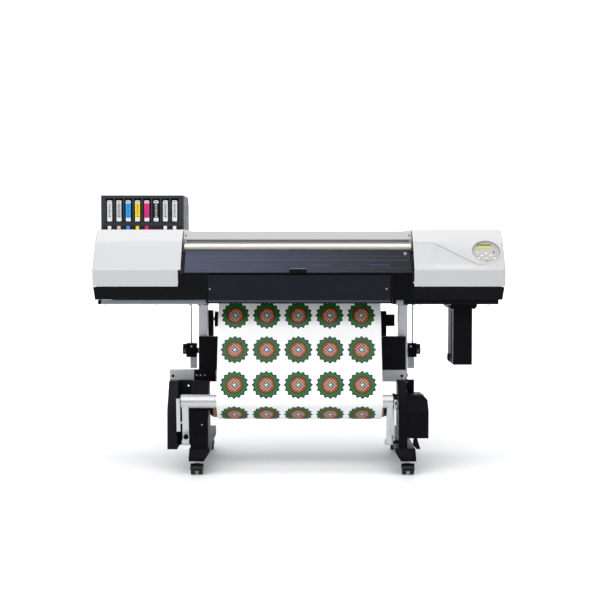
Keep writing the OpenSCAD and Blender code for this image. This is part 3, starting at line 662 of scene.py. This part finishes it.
def side_cover(name, outer, inner, relief, hole=None, notch=None):
    """A thin moulded shell: rounded outline, rounded outer end, a lip along the inner end."""
    low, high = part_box(name)
    outline = cover_outline(low, high)
    normals = loop_normals(outline)
    away = 1 if outer > inner else -1
    edge = 0.009
    stations = []
    for k in range(7):
        turn = math.radians(90 * k / 6)
        stations.append((outer - away * edge * (1 - math.sin(turn)), edge * (1 - math.cos(turn))))
    stations.sort(key=lambda item: -item[0] * away)
    flat = abs(inner - outer) - edge
    steps = int(flat / SHELL_GRID)
    stations += [(outer - away * (edge + flat * k / steps), 0.0) for k in range(1, steps + 1)]
    for k in range(1, 4):
        stations.append((inner, 0.003 * k))
    mesh = bmesh.new()
    rows = []
    for x, sink in stations:
        row = []
        for (y, z), way in zip(outline, normals):
            move = relief(x, y, z) - sink
            row.append(mesh.verts.new((x, y + way.x * move, z + way.y * move)))
        rows.append(row)
    for a, b in zip(rows, rows[1:]):
        for j in range(len(outline) - 1):
            mesh.faces.new([a[j], b[j], b[j + 1], a[j + 1]])
    mesh.faces.new(rows[0])
    bmesh.ops.recalc_face_normals(mesh, faces=mesh.faces)
    if notch:
        gone = [f for f in mesh.faces if notch(f.calc_center_median()) and len(f.verts) < 5]
        bmesh.ops.delete(mesh, geom=gone, context="FACES")
    if hole:
        centre, half, tilt = hole
        up = Vector((0, math.cos(tilt), math.sin(tilt)))
        out = Vector((0, -math.sin(tilt), math.cos(tilt)))

        def spot(point):
            d = point - centre
            return d.x / half[0], d.dot(up) / half[1], d.dot(out)

        gone = []
        for f in mesh.faces:
            a, b, c = spot(f.calc_center_median())
            if math.hypot(a, b) < 1 and abs(c) < 0.02:
                gone.append(f)
        bmesh.ops.delete(mesh, geom=gone, context="FACES")
        for v in mesh.verts:
            a, b, c = spot(v.co)
            reach = math.hypot(a, b)
            if v.is_boundary and abs(c) < 0.02 and 0.7 < reach < 1.25:
                rim = Vector((a * half[0] / reach, 0, 0)) + up * (b * half[1] / reach)
                v.co = centre + rim + out * c
    # the shell's thickness, inward
    mesh.normal_update()
    middle = (low + high) / 2
    if sum(f.calc_area() * f.normal.dot(f.calc_center_median() - middle) for f in mesh.faces) < 0:
        bmesh.ops.reverse_faces(mesh, faces=mesh.faces)
    made = finish_mesh(mesh, name + "_shell", MATERIALS["white_cover"], 30, turn_faces=False)
    thick = made.modifiers.new("thickness", "SOLIDIFY")
    thick.thickness = SHELL_THICKNESS
    thick.offset = -1
    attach(made, "machine")
    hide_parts(name)
    return made


# ---------- control panel ----------
PANEL = Vector((0.864, -0.2874, 1.026))
TILT = math.radians(60)


def on_panel(right, up, out):
    """A point on the control panel's slope, in metres."""
    cos, sin = math.cos(TILT), math.sin(TILT)
    return PANEL + Vector((right, up * cos - out * sin, up * sin + out * cos))


def add_panel_ring(mesh, half, profile, sides=96):
    """A closed oval ring; the profile is (distance outside the oval, height above the face)."""
    sections = []
    for i in range(sides):
        t = 2 * math.pi * i / sides
        sections.append([
            mesh.verts.new(on_panel((half[0] + d) * math.cos(t), (half[1] + d) * math.sin(t), h))
            for d, h in profile
        ])
    join_sections(mesh, sections)


def add_panel_slab(mesh, centre, size, low, high, corner=0.0015):
    """A rounded slab on the control panel's slope, from low to high above its face."""
    w, h = size[0] / 2, size[1] / 2
    outline = rounded([(-w, -h), (w, -h), (w, h), (-w, h)], corner, 4)
    close_solid(mesh, [
        [mesh.verts.new(on_panel(centre[0] + a, centre[1] + b, t)) for a, b in outline] for t in (low, high)
    ])


def panel_pieces():
    rim = [(0.0, -0.0075), (0.0, 0.0022), (0.0012, 0.0032),
           (0.0045, 0.003), (0.0075, 0.0012), (0.0095, -0.0075)]
    make("panel_rim", "white_cover", "machine", add_panel_ring, [((0.0668, 0.0573), rim)])
    for name, part, look, bevel in (
        ("display_glass", ((-0.006, 0.029), (0.0605, 0.0125), -0.0058, -0.0046), GLASS, 0.0),
        # a black strip along the display's top edge only, standing in for the shadow there
        ("display_frame", ((-0.006, 0.0372), (0.064, 0.0034), -0.0052, -0.0036, 0.0008),
         "black_moulding", 0.0),
        ("status_lamp", ((0.036, -0.001), (0.0075, 0.0075), -0.0052, -0.0036, 0.0034), LAMP_BLUE, 0.0004),
    ):
        make(name, "bezel", "machine", add_panel_slab, [part], look, bevel=bevel)
    # small plain dashes beside the keys
    marks = [((right, up), (width, 0.0012), -0.0052, -0.0047, 0.0004) for right, up, width in (
        (-0.04, 0.0065, 0.012), (-0.035, -0.0245, 0.012), (0.038, -0.0245, 0.012),
        (0.036, 0.0065, 0.01), (0.0, 0.004, 0.004), (-0.021, -0.01, 0.004),
        (0.021, -0.01, 0.004), (-0.04, 0.0435, 0.018), (0.015, -0.047, 0.01),
    )]
    make("panel_marks", "bezel", "machine", add_panel_slab, marks, "mechanism")


# ---------- front cover ----------
def front_cover_pieces():
    x0, x1, hinge = -0.532, 0.521, (-0.215, 1.072)
    outline = arc((-0.245, 1.046), 0.016, 90, 218, 24)
    outline += [(-0.2535, 1.0312), (-0.249, 1.03), (-0.234, 1.03),
                (-0.2316, 1.0325), (-0.23, 1.058), (-0.2325, 1.0615)]
    make("cover_bar", "champagne", "front_cover", add_prism, [(outline, "x", x0, x1)],
         bevel=0.0008, replaces=("front_cover",))
    mesh = bmesh.new()
    for low, high in ((x0, x0 + 0.008), (x1 - 0.008, x1)):
        add_disc_rod(mesh, "x", hinge, 0.007, low, high, 0.0008, 32)
        arm = [(-0.2165, 1.0655), (-0.2145, 1.07), (-0.23, 1.0618), (-0.23, 1.0545)]
        add_prism(mesh, arm, "x", low, high)
    piece(mesh, "cover_arms", "champagne", "front_cover")
    left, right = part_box("left_cover")[1].x + 0.002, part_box("right_cover")[0].x - 0.002
    pins = [("x", hinge, 0.004, a, b, 0.0004, 32) for a, b in ((left, x0 + 0.001), (x1 - 0.001, right))]
    make("cover_pins", "steel", "front_cover", add_disc_rod, pins)
    # dark grip with a bevelled top edge and a slate lip
    grip = [(-0.3435, 0.9295), (-0.331, 0.9295), (-0.331, 0.9475), (-0.3385, 0.9475), (-0.3435, 0.943)]
    make("cover_grip", "champagne", "front_cover", add_prism,
         [(rounded(grip, 0.0022, 4), "x", -0.0435, 0.0345)], "black_moulding", bevel=0.001)
    lip = [(-0.3405, 0.9474), (-0.3325, 0.9474), (-0.3325, 0.9488), (-0.3395, 0.9486)]
    make("grip_lip", "champagne", "front_cover", add_prism, [(lip, "x", -0.041, 0.032)], "grip_slate",
         bevel=0.0004)
    # small bright catch in the window's upper right corner
    mesh = bmesh.new()
    down, out = Vector((0, -0.5875, -0.8092)), Vector((0, -0.8092, 0.5875))
    top = Vector((0.492, -0.2635, 1.0215))
    corners = ((-0.0065, 0.0), (0.0065, 0.0), (0.0065, 0.014), (-0.0065, 0.014))
    rings = []
    for rise in (0.0, 0.0024):
        rings.append([mesh.verts.new(top + Vector((a, 0, 0)) + down * b + out * rise) for a, b in corners])
    close_solid(mesh, rings)
    piece(mesh, "window_catch", "smoked_window", "front_cover", "grip_slate", bevel=0.0006)
    # frame strips round the window
    mesh = bmesh.new()
    add_box(mesh, (x0, -0.3325, 0.9255), (x1, -0.3305, 0.93))
    for low, high in ((x0, x0 + 0.006), (x1 - 0.006, x1)):
        strip = [(-0.3312, 0.931), (-0.3302, 0.9295), (-0.2585, 1.0292), (-0.26, 1.0292)]
        add_prism(mesh, strip, "x", low, high)
    piece(mesh, "window_edge", "smoked_window", "front_cover", "black_moulding")


def backing_pieces():
    """Black strips behind the gaps round the lower front panel, standing in for the shade inside the machine
    seen through them.
    """
    low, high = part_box("front_panel")
    strips = [((low.x, low.y + 0.011, high.z - 0.012), (high.x, low.y + 0.015, high.z + 0.0105))]
    strips += [((x - 0.01, low.y + 0.0062, low.z), (x + 0.01, low.y + 0.0092, high.z))
               for x in (low.x, high.x)]
    make("panel_backing", "black_moulding", "machine", add_box, strips, bevel=0.0004)


def top_strip_pieces():
    """A black strip as a painted shadow in the groove under the top cover's front edge, and the small dots at
    its ends.
    """
    low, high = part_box("top_cover")
    # painted shadow: a black strip where the groove lies in shade
    groove = ((low.x + 0.008, -0.2015, 1.0655), (high.x - 0.008, -0.1995, 1.0805))
    make("hinge_groove", "champagne", "machine", add_box, [groove], "black_moulding")
    mesh = bmesh.new()
    profile = [(0.0002, 0.0), (0.0035, 0.0), (0.0042, 0.0006), (0.0042, 0.0012), (0.0002, 0.0012)]
    way, side = Vector((0, -39, 28)).normalized(), Vector((1, 0, 0))
    up = way.cross(side)
    for x in (low.x + 0.012, high.x - 0.012):
        base = Vector((x, -0.206, 1.101)) + way * 0.0001
        sections = []
        for i in range(24):
            t = 2 * math.pi * i / 24
            ray = side * math.cos(t) + up * math.sin(t)
            sections.append([mesh.verts.new(base + ray * r + way * (0.0012 - h)) for r, h in profile])
        join_sections(mesh, sections)
    piece(mesh, "strip_plugs", "champagne", "machine", "black_moulding")


# ---------- ink bay ----------
def ink_pieces():
    low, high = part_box("ink_bay")
    front = low.y
    tints = {
        "cartridge_1": rgb(0.6, 0.61, 0.63), "cartridge_2": rgb(0.5, 0.51, 0.53),
        "cartridge_3": rgb(0.002, 0.35, 0.8), "cartridge_4": rgb(0.84, 0.68, 0.02),
        "cartridge_5": rgb(0.76, 0.008, 0.2), "cartridge_6": rgb(0.008, 0.008, 0.01),
        "cartridge_7": rgb(0.58, 0.59, 0.62), "cartridge_8": rgb(0.62, 0.63, 0.65),
    }
    centres = []
    for name, tint in tints.items():
        a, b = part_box(name)
        x = (a.x + b.x) / 2
        centres.append(x)
        w = (b.x - a.x) / 2 - 0.0004
        slot = SLOTS[name]
        ink = rgb(0.62, 0.62, 0.64) if name == "cartridge_6" else rgb(0.02, 0.02, 0.03)
        look = label(name + "_label", x, tint, ink)
        outline = rounded([(-w, a.z), (w, a.z), (w, b.z), (-w, b.z)], [0.003, 0.003, 0.0085, 0.0085], 8)
        face = ([(x + u, v) for u, v in outline], "y", front + 0.0032, front + 0.0075)
        make(name + "_face", slot, name, add_prism, [face], look, bevel=0.0008)
        z0, z1 = a.z + 0.0004, b.z - 0.0004
        outline = rounded([(-w, z0), (w, z0), (w, z1), (-w, z1)], 0.004, 4)
        body = ([(x + u, v) for u, v in outline], "y", front + 0.0072, b.y)
        case = "black_moulding" if name == "cartridge_6" else None
        make(name + "_case", slot, name, add_prism, [body], case, bevel=0.0008, replaces=(name,))
        half = w - 0.004
        grip = ((x - half, front + 0.0012, b.z - 0.008), (x + half, front + 0.0036, b.z - 0.0055))
        make(name + "_grip", slot, name, add_box, [grip], "mechanism", bevel=0.0006)
    # coloured tabs on a dark strip under the slots
    strip = ((low.x + 0.01, front - 0.0016, 1.1305), (high.x - 0.01, front + 0.0005, 1.1495))
    make("tab_strip", "bay_grey", "machine", add_box, [strip], TAB_STRIP, bevel=0.0005)
    kinds = ["white", "grey", "cyan", "yellow", "magenta", "black", "white", "white"]
    for k, x in enumerate(centres):
        tab = [(x - 0.008, 1.1312), (x + 0.008, 1.1312), (x + 0.008, 1.148), (x - 0.008, 1.148)]
        part = (rounded(tab, 0.002, 4), "y", front - 0.0032, front - 0.0012)
        make(f"tab_{k + 1}", "cartridge_" + kinds[k], "machine", add_prism, [part], bevel=0.0005)
        dot = ((x - 0.001, front - 0.0036, 1.14), (x + 0.001, front - 0.003, 1.1425))
        make(f"tab_dot_{k + 1}", "bay_grey", "machine", add_box, [dot], "mechanism")
    # a raised edge at the sides and top of each slot
    frames = []
    for x in centres:
        for a, b, z0, z1 in ((-0.0162, -0.0148, 1.1662, 1.279), (0.0172, 0.0186, 1.1662, 1.279),
                             (-0.0162, 0.0186, 1.2782, 1.2798)):
            frames.append(((x + a, front - 0.0022, z0), (x + b, front + 0.0008, z1)))
    make("slot_frames", "bay_grey", "machine", add_box, frames, "black_moulding", bevel=0.0004)
    louvres = [((x + a, low.y + 0.07, z), (x + b, low.y + 0.19, z + 0.005))
               for z in (1.165, 1.19, 1.215, 1.24)
               for x, a, b in ((high.x, -0.0005, 0.0012), (low.x, -0.0012, 0.0005))]
    make("bay_louvres", "bay_grey", "machine", add_box, louvres, bevel=0.0005)


# ---------- media ----------
def media_geometry():
    """The web's path as (depth, height) in millimetres, and its ends in X in metres."""
    low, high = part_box("media_web")
    roll, supply = [[v * 1000 for v in JOINTS[name]["pos_m"][1:]] for name in ("takeup_spin", "supply_spin")]
    reach = 90.4
    front, rear, nose = (-100.0, 790.0), (230.0, 790.0), (-335.0, 338.0)
    nose_r, roll_r = 31.6, 50.6

    def touch(a, ra, b, rb):
        d = (b[0] - a[0], b[1] - a[1])
        spread = math.acos((ra - rb) / math.hypot(*d))
        return 360 + math.degrees(math.atan2(d[1], d[0])) - math.degrees(spread)

    leave = touch(front, reach, nose, nose_r)
    turn = touch(nose, nose_r, roll, roll_r)
    return dict(front=front, rear=rear, reach=reach, nose=nose, nose_r=nose_r, roll=roll, roll_r=roll_r,
                leave=leave, turn=turn, supply=supply, x=(low.x, high.x))


def web_sheet(name, path, first_run, x, columns=48):
    """A thin closed band along a path; its outer side stores its length as run, the inner -1."""
    points = [Vector(p) for p in path]
    normals = loop_normals(points)
    mesh = bmesh.new()
    layer = mesh.verts.layers.float.new("run")
    xs = [x[0] + (x[1] - x[0]) * k / columns for k in range(columns + 1)]
    run = first_run
    inner, outer = [], []
    for i, point in enumerate(points):
        if i:
            run += (point - points[i - 1]).length
        rows = []
        for shift, kept in ((0.0, -1.0), (-WEB_THICKNESS / MM, run * MM)):
            at = point + normals[i] * shift
            row = [mesh.verts.new((u, at.x * MM, at.y * MM)) for u in xs]
            for v in row:
                v[layer] = kept
            rows.append(row)
        inner.append(rows[0])
        outer.append(rows[1])
    for side, flip in ((inner, True), (outer, False)):
        for a, b in zip(side, side[1:]):
            for k in range(columns):
                face = [a[k], a[k + 1], b[k + 1], b[k]]
                mesh.faces.new(face[::-1] if flip else face)
    for a, b in ((inner[0], outer[0]), (outer[-1], inner[-1])):
        for k in range(columns):
            mesh.faces.new([a[k], a[k + 1], b[k + 1], b[k]])
    for k, flip in ((0, True), (columns, False)):
        for i in range(len(points) - 1):
            face = [inner[i][k], outer[i][k], outer[i + 1][k], inner[i + 1][k]]
            mesh.faces.new(face[::-1] if flip else face)
    return finish_mesh(mesh, name, VINYL, 60)


def media_pieces():
    g = media_geometry()
    on = lambda c, r, t: (c[0] + r * math.cos(math.radians(t)), c[1] + r * math.sin(math.radians(t)))
    middle = (g["leave"] + g["turn"]) / 2
    lead = on(g["front"], g["reach"], g["leave"])
    meet = on(g["nose"], g["nose_r"], g["leave"])
    part = on(g["nose"], g["nose_r"], g["turn"])
    land = on(g["roll"], g["roll_r"], g["turn"])
    rear = [(g["rear"][0] + g["reach"], g["supply"][1])]
    rear = resample(rear + arc(g["rear"], g["reach"], 0, 90, 24), 25)
    rear += resample([rear[-1], on(g["front"], g["reach"], 90)], 30)[1:]
    rear += arc(g["front"], g["reach"], 90, g["leave"], 28)[1:]
    upper = resample([lead, meet], 9) + arc(g["nose"], g["nose_r"], g["leave"], middle, 10)[1:]
    lower = arc(g["nose"], g["nose_r"], middle, g["turn"], 10) + resample([part, land], 4)[1:]
    wound = arc(g["roll"], g["roll_r"], g["turn"], 270, 14)

    def length(points):
        return sum(math.dist(a, b) for a, b in zip(points, points[1:]))

    back = web_sheet("web_bed", rear, -length(rear), g["x"])
    upper_sheet = web_sheet("web_upper", upper, 0.0, g["x"])
    lower_sheet = web_sheet("web_lower", lower, length(upper), g["x"])
    wound_sheet = web_sheet("web_wound", wound, length(upper) + length(lower), g["x"])
    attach(back, "machine")
    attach(wound_sheet, "machine")
    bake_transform(upper_sheet)
    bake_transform(lower_sheet)
    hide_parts("media_web")


# ---------- rolls ----------
def wound_profile(radius, layers, x0, x1):
    """Section of a wound roll whose layers end unevenly."""
    core, uneven = 0.0431, 0.0006
    thick = radius - core
    out = [(core + thick * k / layers, x0 + uneven * (k % 2)) for k in range(layers + 1)]
    return out + [(radius - thick * k / layers, x1 - uneven * (k % 2)) for k in range(layers + 1)]


def add_turned(mesh, profile, centre, sides):
    add_lathe(mesh, profile, "x", centre, sides)


def tube_and_media(name, body, centre, ends, radius, layers, x):
    make(name + "_tube", "board", body, add_turned, [(bush(0.038, 0.043, *ends, 0.0005), centre, 96)],
         replaces=(body,))
    make(name + "_wound", "media", body, add_turned, [(wound_profile(radius, layers, *x), centre, 128)],
         smooth=40)


def roll_pieces():
    g = media_geometry()
    a, b = [(g[name][0] * MM, g[name][1] * MM) for name in ("roll", "supply")]
    tube_and_media("takeup", "takeup_core", a, (-0.397, 0.395), 0.05, 8, g["x"])
    mesh = bmesh.new()
    for outer, inner, side in ((-0.4135, -0.3975, -1), (0.4118, 0.3955, 1)):
        step, bolt = inner + side * 0.0075, sorted((inner + side * 0.0072, inner + side * 0.0108))
        profile = [(0.0122, inner), (0.04, inner), (0.04, inner + side * 0.006),
                   (0.037, step), (0.034, step), (0.032, outer), (0.0122, outer)]
        add_turned(mesh, profile, a, 96)
        for k in range(6):
            t = math.radians(60 * k + 15)
            centre = (a[0] + 0.0345 * math.cos(t), a[1] + 0.0345 * math.sin(t))
            add_disc_rod(mesh, "x", centre, 0.0035, *bolt, 0.0004, 16)
    for low, high in ((-0.398, -0.37), (0.37, 0.396)):
        profile = [(0.0122, low), (0.0375, low), (0.0378, low + 0.001), (0.0378, high), (0.0122, high)]
        add_turned(mesh, profile, a, 64)
    piece(mesh, "takeup_holders", "board", "takeup_core", "black_moulding")
    mesh = bmesh.new()
    add_disc_rod(mesh, "x", a, 0.009, 0.3965, 0.496, 0.0008)
    collar = [(0.0092, 0.4122), (0.0155, 0.4122), (0.016, 0.4128), (0.016, 0.419), (0.0155, 0.4195),
              (0.0092, 0.4195)]
    add_turned(mesh, collar, a, 48)
    piece(mesh, "takeup_shaft", "steel", "takeup_core")

    tube_and_media("supply", "supply_roll", b, (-0.413, 0.405), 0.055, 12, g["x"])
    flanges = [(bush(0.0078, 0.041, low, high, 0.001), b, 96)
               for low, high in ((-0.431, -0.422), (0.4055, 0.413))]
    flanges += [([(0.0078, low), (0.0378, low), (0.0378, high), (0.0078, high)], b, 64)
                for low, high in ((-0.423, -0.39), (0.38, 0.406))]
    make("supply_flanges", "media", "supply_roll", add_turned, flanges, "black_moulding")
    journals = [("x", b, 0.0075, low, high, 0.0008) for low, high in ((-0.467, -0.4), (0.4, 0.487))]
    make("supply_journals", "steel", "supply_roll", add_disc_rod, journals)


# ---------- screws ----------
def add_screw(mesh, at, way, radius, height=0.003):
    """A round head with a chamfer and a hexagon recess, on the face whose outward direction is way."""
    way, base = Vector(way), Vector(at)
    side = way.orthogonal().normalized()
    up = way.cross(side)
    profile = [(radius, 0.0), (radius, height * 0.65), (radius * 0.86, height),
               (radius * 0.5, height), (radius * 0.46, height * 0.35), (radius * 0.03, height * 0.35)]
    sections = []
    for i in range(36):
        t = 2 * math.pi * i / 36
        ray = side * math.cos(t) + up * math.sin(t)
        hexagon = math.cos(math.radians(30)) / math.cos((t % (math.pi / 3)) - math.pi / 6)
        sections.append([mesh.verts.new(base + ray * (r * hexagon if k in (3, 4) else r) + way * h)
                         for k, (r, h) in enumerate(profile)])
    join_sections(mesh, sections, closed=False)
    mesh.faces.new([section[0] for section in sections][::-1])
    mesh.faces.new([section[-1] for section in sections])


def screw_pieces():
    front, below = (0, -1, 0), (0, 0, -1)
    low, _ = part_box("base_frame")
    dark = [((x, -0.131, 0.432), front, 0.007) for x in (-0.602, 0.492)]
    dark += [((0.4805, -0.33, z), front, 0.0035, 0.0024) for z in (0.14, 0.19, 0.24)]
    make("dark_screws", "steel", "machine", add_screw, dark, "black_moulding")
    bright = [((-0.447, -0.33, 0.2285), front, 0.0035, 0.0024)]
    bright += [((x, -0.335, 0.855), front, 0.0045, 0.0026) for x in (-0.408, 0.401)]
    bright += [((x, -0.135, 0.436), front, 0.004, 0.0026) for x in (-0.488, -0.47, -0.45)]
    bright += [((x, low.y, 0.7935), front, 0.0028, 0.0016)
               for x in (-0.9, -0.78, -0.66, -0.54, -0.45, 0.47, 0.56, 0.7, 0.8, 0.88)]
    bright += [((x, -0.27, low.z), below, 0.005, 0.004)
               for x in (-0.9, -0.66, -0.45, 0.56, 0.7, 0.88)]
    bright += [((x, -0.1, low.z), below, 0.006, 0.006) for x in (-0.5, -0.438, 0.468, 0.526)]
    make("bright_screws", "steel", "machine", add_screw, bright, replaces=("fasteners",))


# ---------- stand and take-up details ----------
def stand_pieces():
    dark, mid = "black_moulding", "mechanism"
    front, left, right = (0, -1, 0), (-1, 0, 0), (1, 0, 0)
    # dark end cap of the chassis strip
    low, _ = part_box("base_frame")
    cap = ((low.x - 0.0025, low.y - 0.0015, low.z), (low.x + 0.012, low.y + 0.03, low.z + 0.0195))
    make("strip_cap", "frame_grey", "machine", add_box, [cap], dark, bevel=0.001)
    # end caps, pivot knobs and clamp of the dancer bar
    profile = arc((-0.335, 0.338), 0.0315, 90, 270, 24) + [(-0.3335, 0.3065), (-0.3335, 0.3695)]
    caps = [(profile, "x", -0.5448, -0.5412), (profile, "x", 0.4318, 0.4358)]
    make("bar_caps", "machined", "dancer", add_prism, caps, dark, bevel=0.0006)
    knobs = [
        ((-0.562, -0.3495, 0.33), left, 0.0095, 0.005), ((0.441, -0.3465, 0.33), right, 0.0095, 0.005),
        ((0.441, -0.317, 0.165), right, 0.007, 0.005), ((-0.562, -0.341, 0.225), left, 0.007, 0.005),
        ((-0.519, -0.3475, 0.176), front, 0.012, 0.01),
    ]
    make("dancer_knobs", "machined", "dancer", add_screw, knobs, dark)
    clamp = [((0.4362, -0.356, 0.347), (0.454, -0.339, 0.372)),
             ((0.429, -0.354, 0.3692), (0.441, -0.341, 0.376))]
    make("bar_clamp", "machined", "dancer", add_box, clamp, dark, bevel=0.0012)
    # channel beside the right arm
    channel = [((0.4205, -0.348, 0.182), (0.4375, -0.335, 0.33))]
    channel += [((0.4225, -0.3492, z), (0.4355, -0.3478, z + 0.006)) for z in (0.188, 0.252, 0.318)]
    make("arm_channel", "machined", "dancer", add_box, channel, SILVER, bevel=0.0012)
    # collars on the fixed pivots
    collars = [
        ([(0.0082, a), (0.0125, a), (0.013, a + 0.0006), (0.013, b - 0.0006), (0.0125, b), (0.0082, b)],
         (-0.31, 0.145), 48)
        for a, b in ((-0.5412, -0.5365), (0.3975, 0.4025), (0.4288, 0.4345))
    ]
    make("pivot_collars", "dark_panel", "machine", add_turned, collars, "steel")
    # handles of the clamp levers
    y, z = 0.264, 0.518
    for name, a, b in (("left_lever_boss", -0.5975, -0.5795), ("right_lever_boss", 0.6045, 0.6235)):
        make(name, "lever_black", "clamp_levers", add_disc_rod, [("x", (y, z), 0.013, a, b, 0.0012)], mid)
    # screws on the lower clamp blocks
    screws = [((x, y - 0.02, h), front, 0.0042)
              for x in (-0.549, -0.532, 0.566, 0.583) for h in (0.47, 0.44)]
    screws += [((x, y - 0.026, 0.541), front, 0.005) for x in (-0.55, 0.572)]
    make("clamp_screws", "dark_panel", "machine", add_screw, screws, "steel")
    # flanges at the feet and heads of the columns
    flanges = [((x0 - 0.003, -0.093, z0), (x1 + 0.003, -0.037, z1))
               for x0, x1 in ((-0.483, -0.44), (0.478, 0.522))
               for z0, z1 in ((0.1195, 0.128), (0.768, 0.7825))]
    make("column_flanges", "stand_grey", "machine", add_box, flanges, mid, bevel=0.0012)
    # end caps of the cross beam
    outline = rounded([(-0.1318, 0.4032), (-0.0892, 0.4032), (-0.0892, 0.4618), (-0.1318, 0.4618)], 0.003, 3)
    caps = [(outline, "x", a, b) for a, b in ((-0.6188, -0.612), (0.508, 0.5148))]
    make("beam_caps", "stand_grey", "machine", add_prism, caps, bevel=0.0006)
    knobs = [((0.5148, -0.11, 0.433), right, 0.009, 0.007), ((0.486, -0.136, 0.6), front, 0.008, 0.006)]
    make("beam_knobs", "stand_grey", "machine", add_screw, knobs, dark)
    # head bracket at the top of the right column
    bracket = ((0.448, -0.3075, 0.7805), (0.482, -0.3008, 0.8028))
    make("head_bracket", "frame_grey", "machine", add_box, [bracket], bevel=0.0008)
    # waste box: raised face and edge strip
    outline = rounded([(0.7415, 0.52), (0.8035, 0.52), (0.8035, 0.735), (0.7415, 0.735)], 0.006, 4)
    make("waste_face", "dark_panel", "machine", add_prism, [(outline, "y", -0.2014, -0.1995)], bevel=0.0005)
    edge = ((0.7272, -0.19, 0.498), (0.7292, -0.16, 0.75))
    make("waste_edge", "dark_panel", "machine", add_box, [edge], mid)
    # cooling slots on the rear cover
    louvres = [((-0.46 + 0.028 * k, 0.3348, 0.945), (-0.446 + 0.028 * k, 0.3366, 0.992)) for k in range(10)]
    make("rear_louvres", "rear_panel", "machine", add_box, louvres, mid, bevel=0.0004)
    # rims of the drive box's sockets
    rims = [((x - 0.0015, y0, 0.3568), (x + 0.0155, y1, 0.3582))
            for x in (0.53, 0.552, 0.574) for y0, y1 in ((-0.2575, -0.256), (-0.24, -0.2385))]
    make("socket_rims", "dark_panel", "machine", add_box, rims, mid)


def caster_pieces():
    """Hub caps and a bright swivel collar for each caster."""
    for k in range(1, 5):
        x, y, z = JOINTS[f"caster_{k}_roll"]["pos_m"]
        hubs = []
        for side in (-1, 1):
            outer, inner = x + side * 0.0273, x + side * 0.0262
            hubs.append(([(0.0045, inner), (0.018, inner), (0.018, outer), (0.015, outer + side * 0.0006),
                          (0.013, outer - side * 0.0004), (0.0045, outer)], (y, z), 48))
        make(f"caster_{k}_hubs", "caster_black", f"caster_wheels_{k}", add_turned, hubs, "mechanism")
        x, y, z = JOINTS[f"caster_{k}_swivel"]["pos_m"]
        collar = [(0.0066, 0.0505), (0.0105, 0.0505), (0.0125, 0.0525),
                  (0.0125, 0.059), (0.0115, 0.06), (0.0066, 0.06)]
        make(f"caster_{k}_collar", "caster_black", f"caster_fork_{k}", add_lathe, [(collar, "z", (x, y), 48)],
             "steel")


def build_pieces():
    side_cover("left_cover", -0.948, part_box("left_cover")[1].x, cover_relief_left,
               notch=lambda p: p.x > -0.5555 and p.z < 0.942 and p.y < -0.28)
    side_cover("right_cover", 0.948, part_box("right_cover")[0].x, cover_relief_right,
               hole=(PANEL, (0.0672, 0.0577), TILT))
    panel_pieces()
    front_cover_pieces()
    top_strip_pieces()
    backing_pieces()
    ink_pieces()
    media_pieces()
    roll_pieces()
    screw_pieces()
    stand_pieces()
    caster_pieces()


# ---------- stage ----------
def build_stage():
    """A pale sweep, a camera in front and soft light."""
    front, back, high, bend = -11.0, 3.0, 7.0, 2.0
    profile = [(front, 0.0)]
    profile += [(back + bend * math.sin(t), bend - bend * math.cos(t))
                for t in [math.pi / 2 * i / 16 for i in range(17)]]
    profile += [(back + bend, high)]
    mesh = bmesh.new()
    rows = [[mesh.verts.new((x, y, z)) for y, z in profile] for x in (-12.0, 12.0)]
    for i in range(len(profile) - 1):
        mesh.faces.new([rows[0][i], rows[1][i], rows[1][i + 1], rows[0][i + 1]])
    look = Look("studio_floor")
    pale = look.mix(look.noise(0.7, 2), rgb(0.93, 0.935, 0.945), rgb(0.95, 0.953, 0.96))
    look.set(Base_Color=pale, Roughness=0.55)
    floor = finish_mesh(mesh, "studio_floor", look.material, 80)

    camera = bpy.data.objects.new("camera", bpy.data.cameras.new("camera"))
    bpy.context.scene.collection.objects.link(camera)
    camera.location = (0.005, -5.37, 1.033)
    camera.rotation_euler = (math.radians(90 - 2.6), 0, 0)
    camera.data.lens = 66
    camera.data.sensor_width = 36
    bpy.context.scene.camera = camera

    world = bpy.data.worlds.new("studio")
    world.use_nodes = True
    world.node_tree.nodes["Background"].inputs[0].default_value = rgb(0.97, 0.985, 1.0)
    world.node_tree.nodes["Background"].inputs[1].default_value = 0.4
    bpy.context.scene.world = world
    bpy.context.scene.view_settings.view_transform = "Standard"

    for name, place, aim, size, power in (
        ("key", (-2.6, -3.6, 3.4), (0, 0, 0.8), (2.6, 2.0), 56),
        ("fill", (3.2, -3.4, 2.4), (0, 0, 0.8), (2.4, 2.4), 24),
        ("top", (0, -0.2, 4.6), (0, 0, 0), (6.0, 3.4), 150),
        ("front", (0, -3.8, 3.9), (0, 0, 0.5), (4.0, 1.6), 78),
        ("sweep", (0, 2.4, 3.0), (0, 5.2, 1.9), (7.0, 1.4), 150),
    ):
        data = bpy.data.lights.new(name, "AREA")
        data.shape = "RECTANGLE"
        data.size, data.size_y = size
        data.energy = power
        lamp = bpy.data.objects.new(name, data)
        lamp.location = place
        lamp.rotation_euler = (Vector(aim) - Vector(place)).to_track_quat("-Z", "Y").to_euler()
        bpy.context.scene.collection.objects.link(lamp)


build_stage()
dress_nodes()
build_pieces()
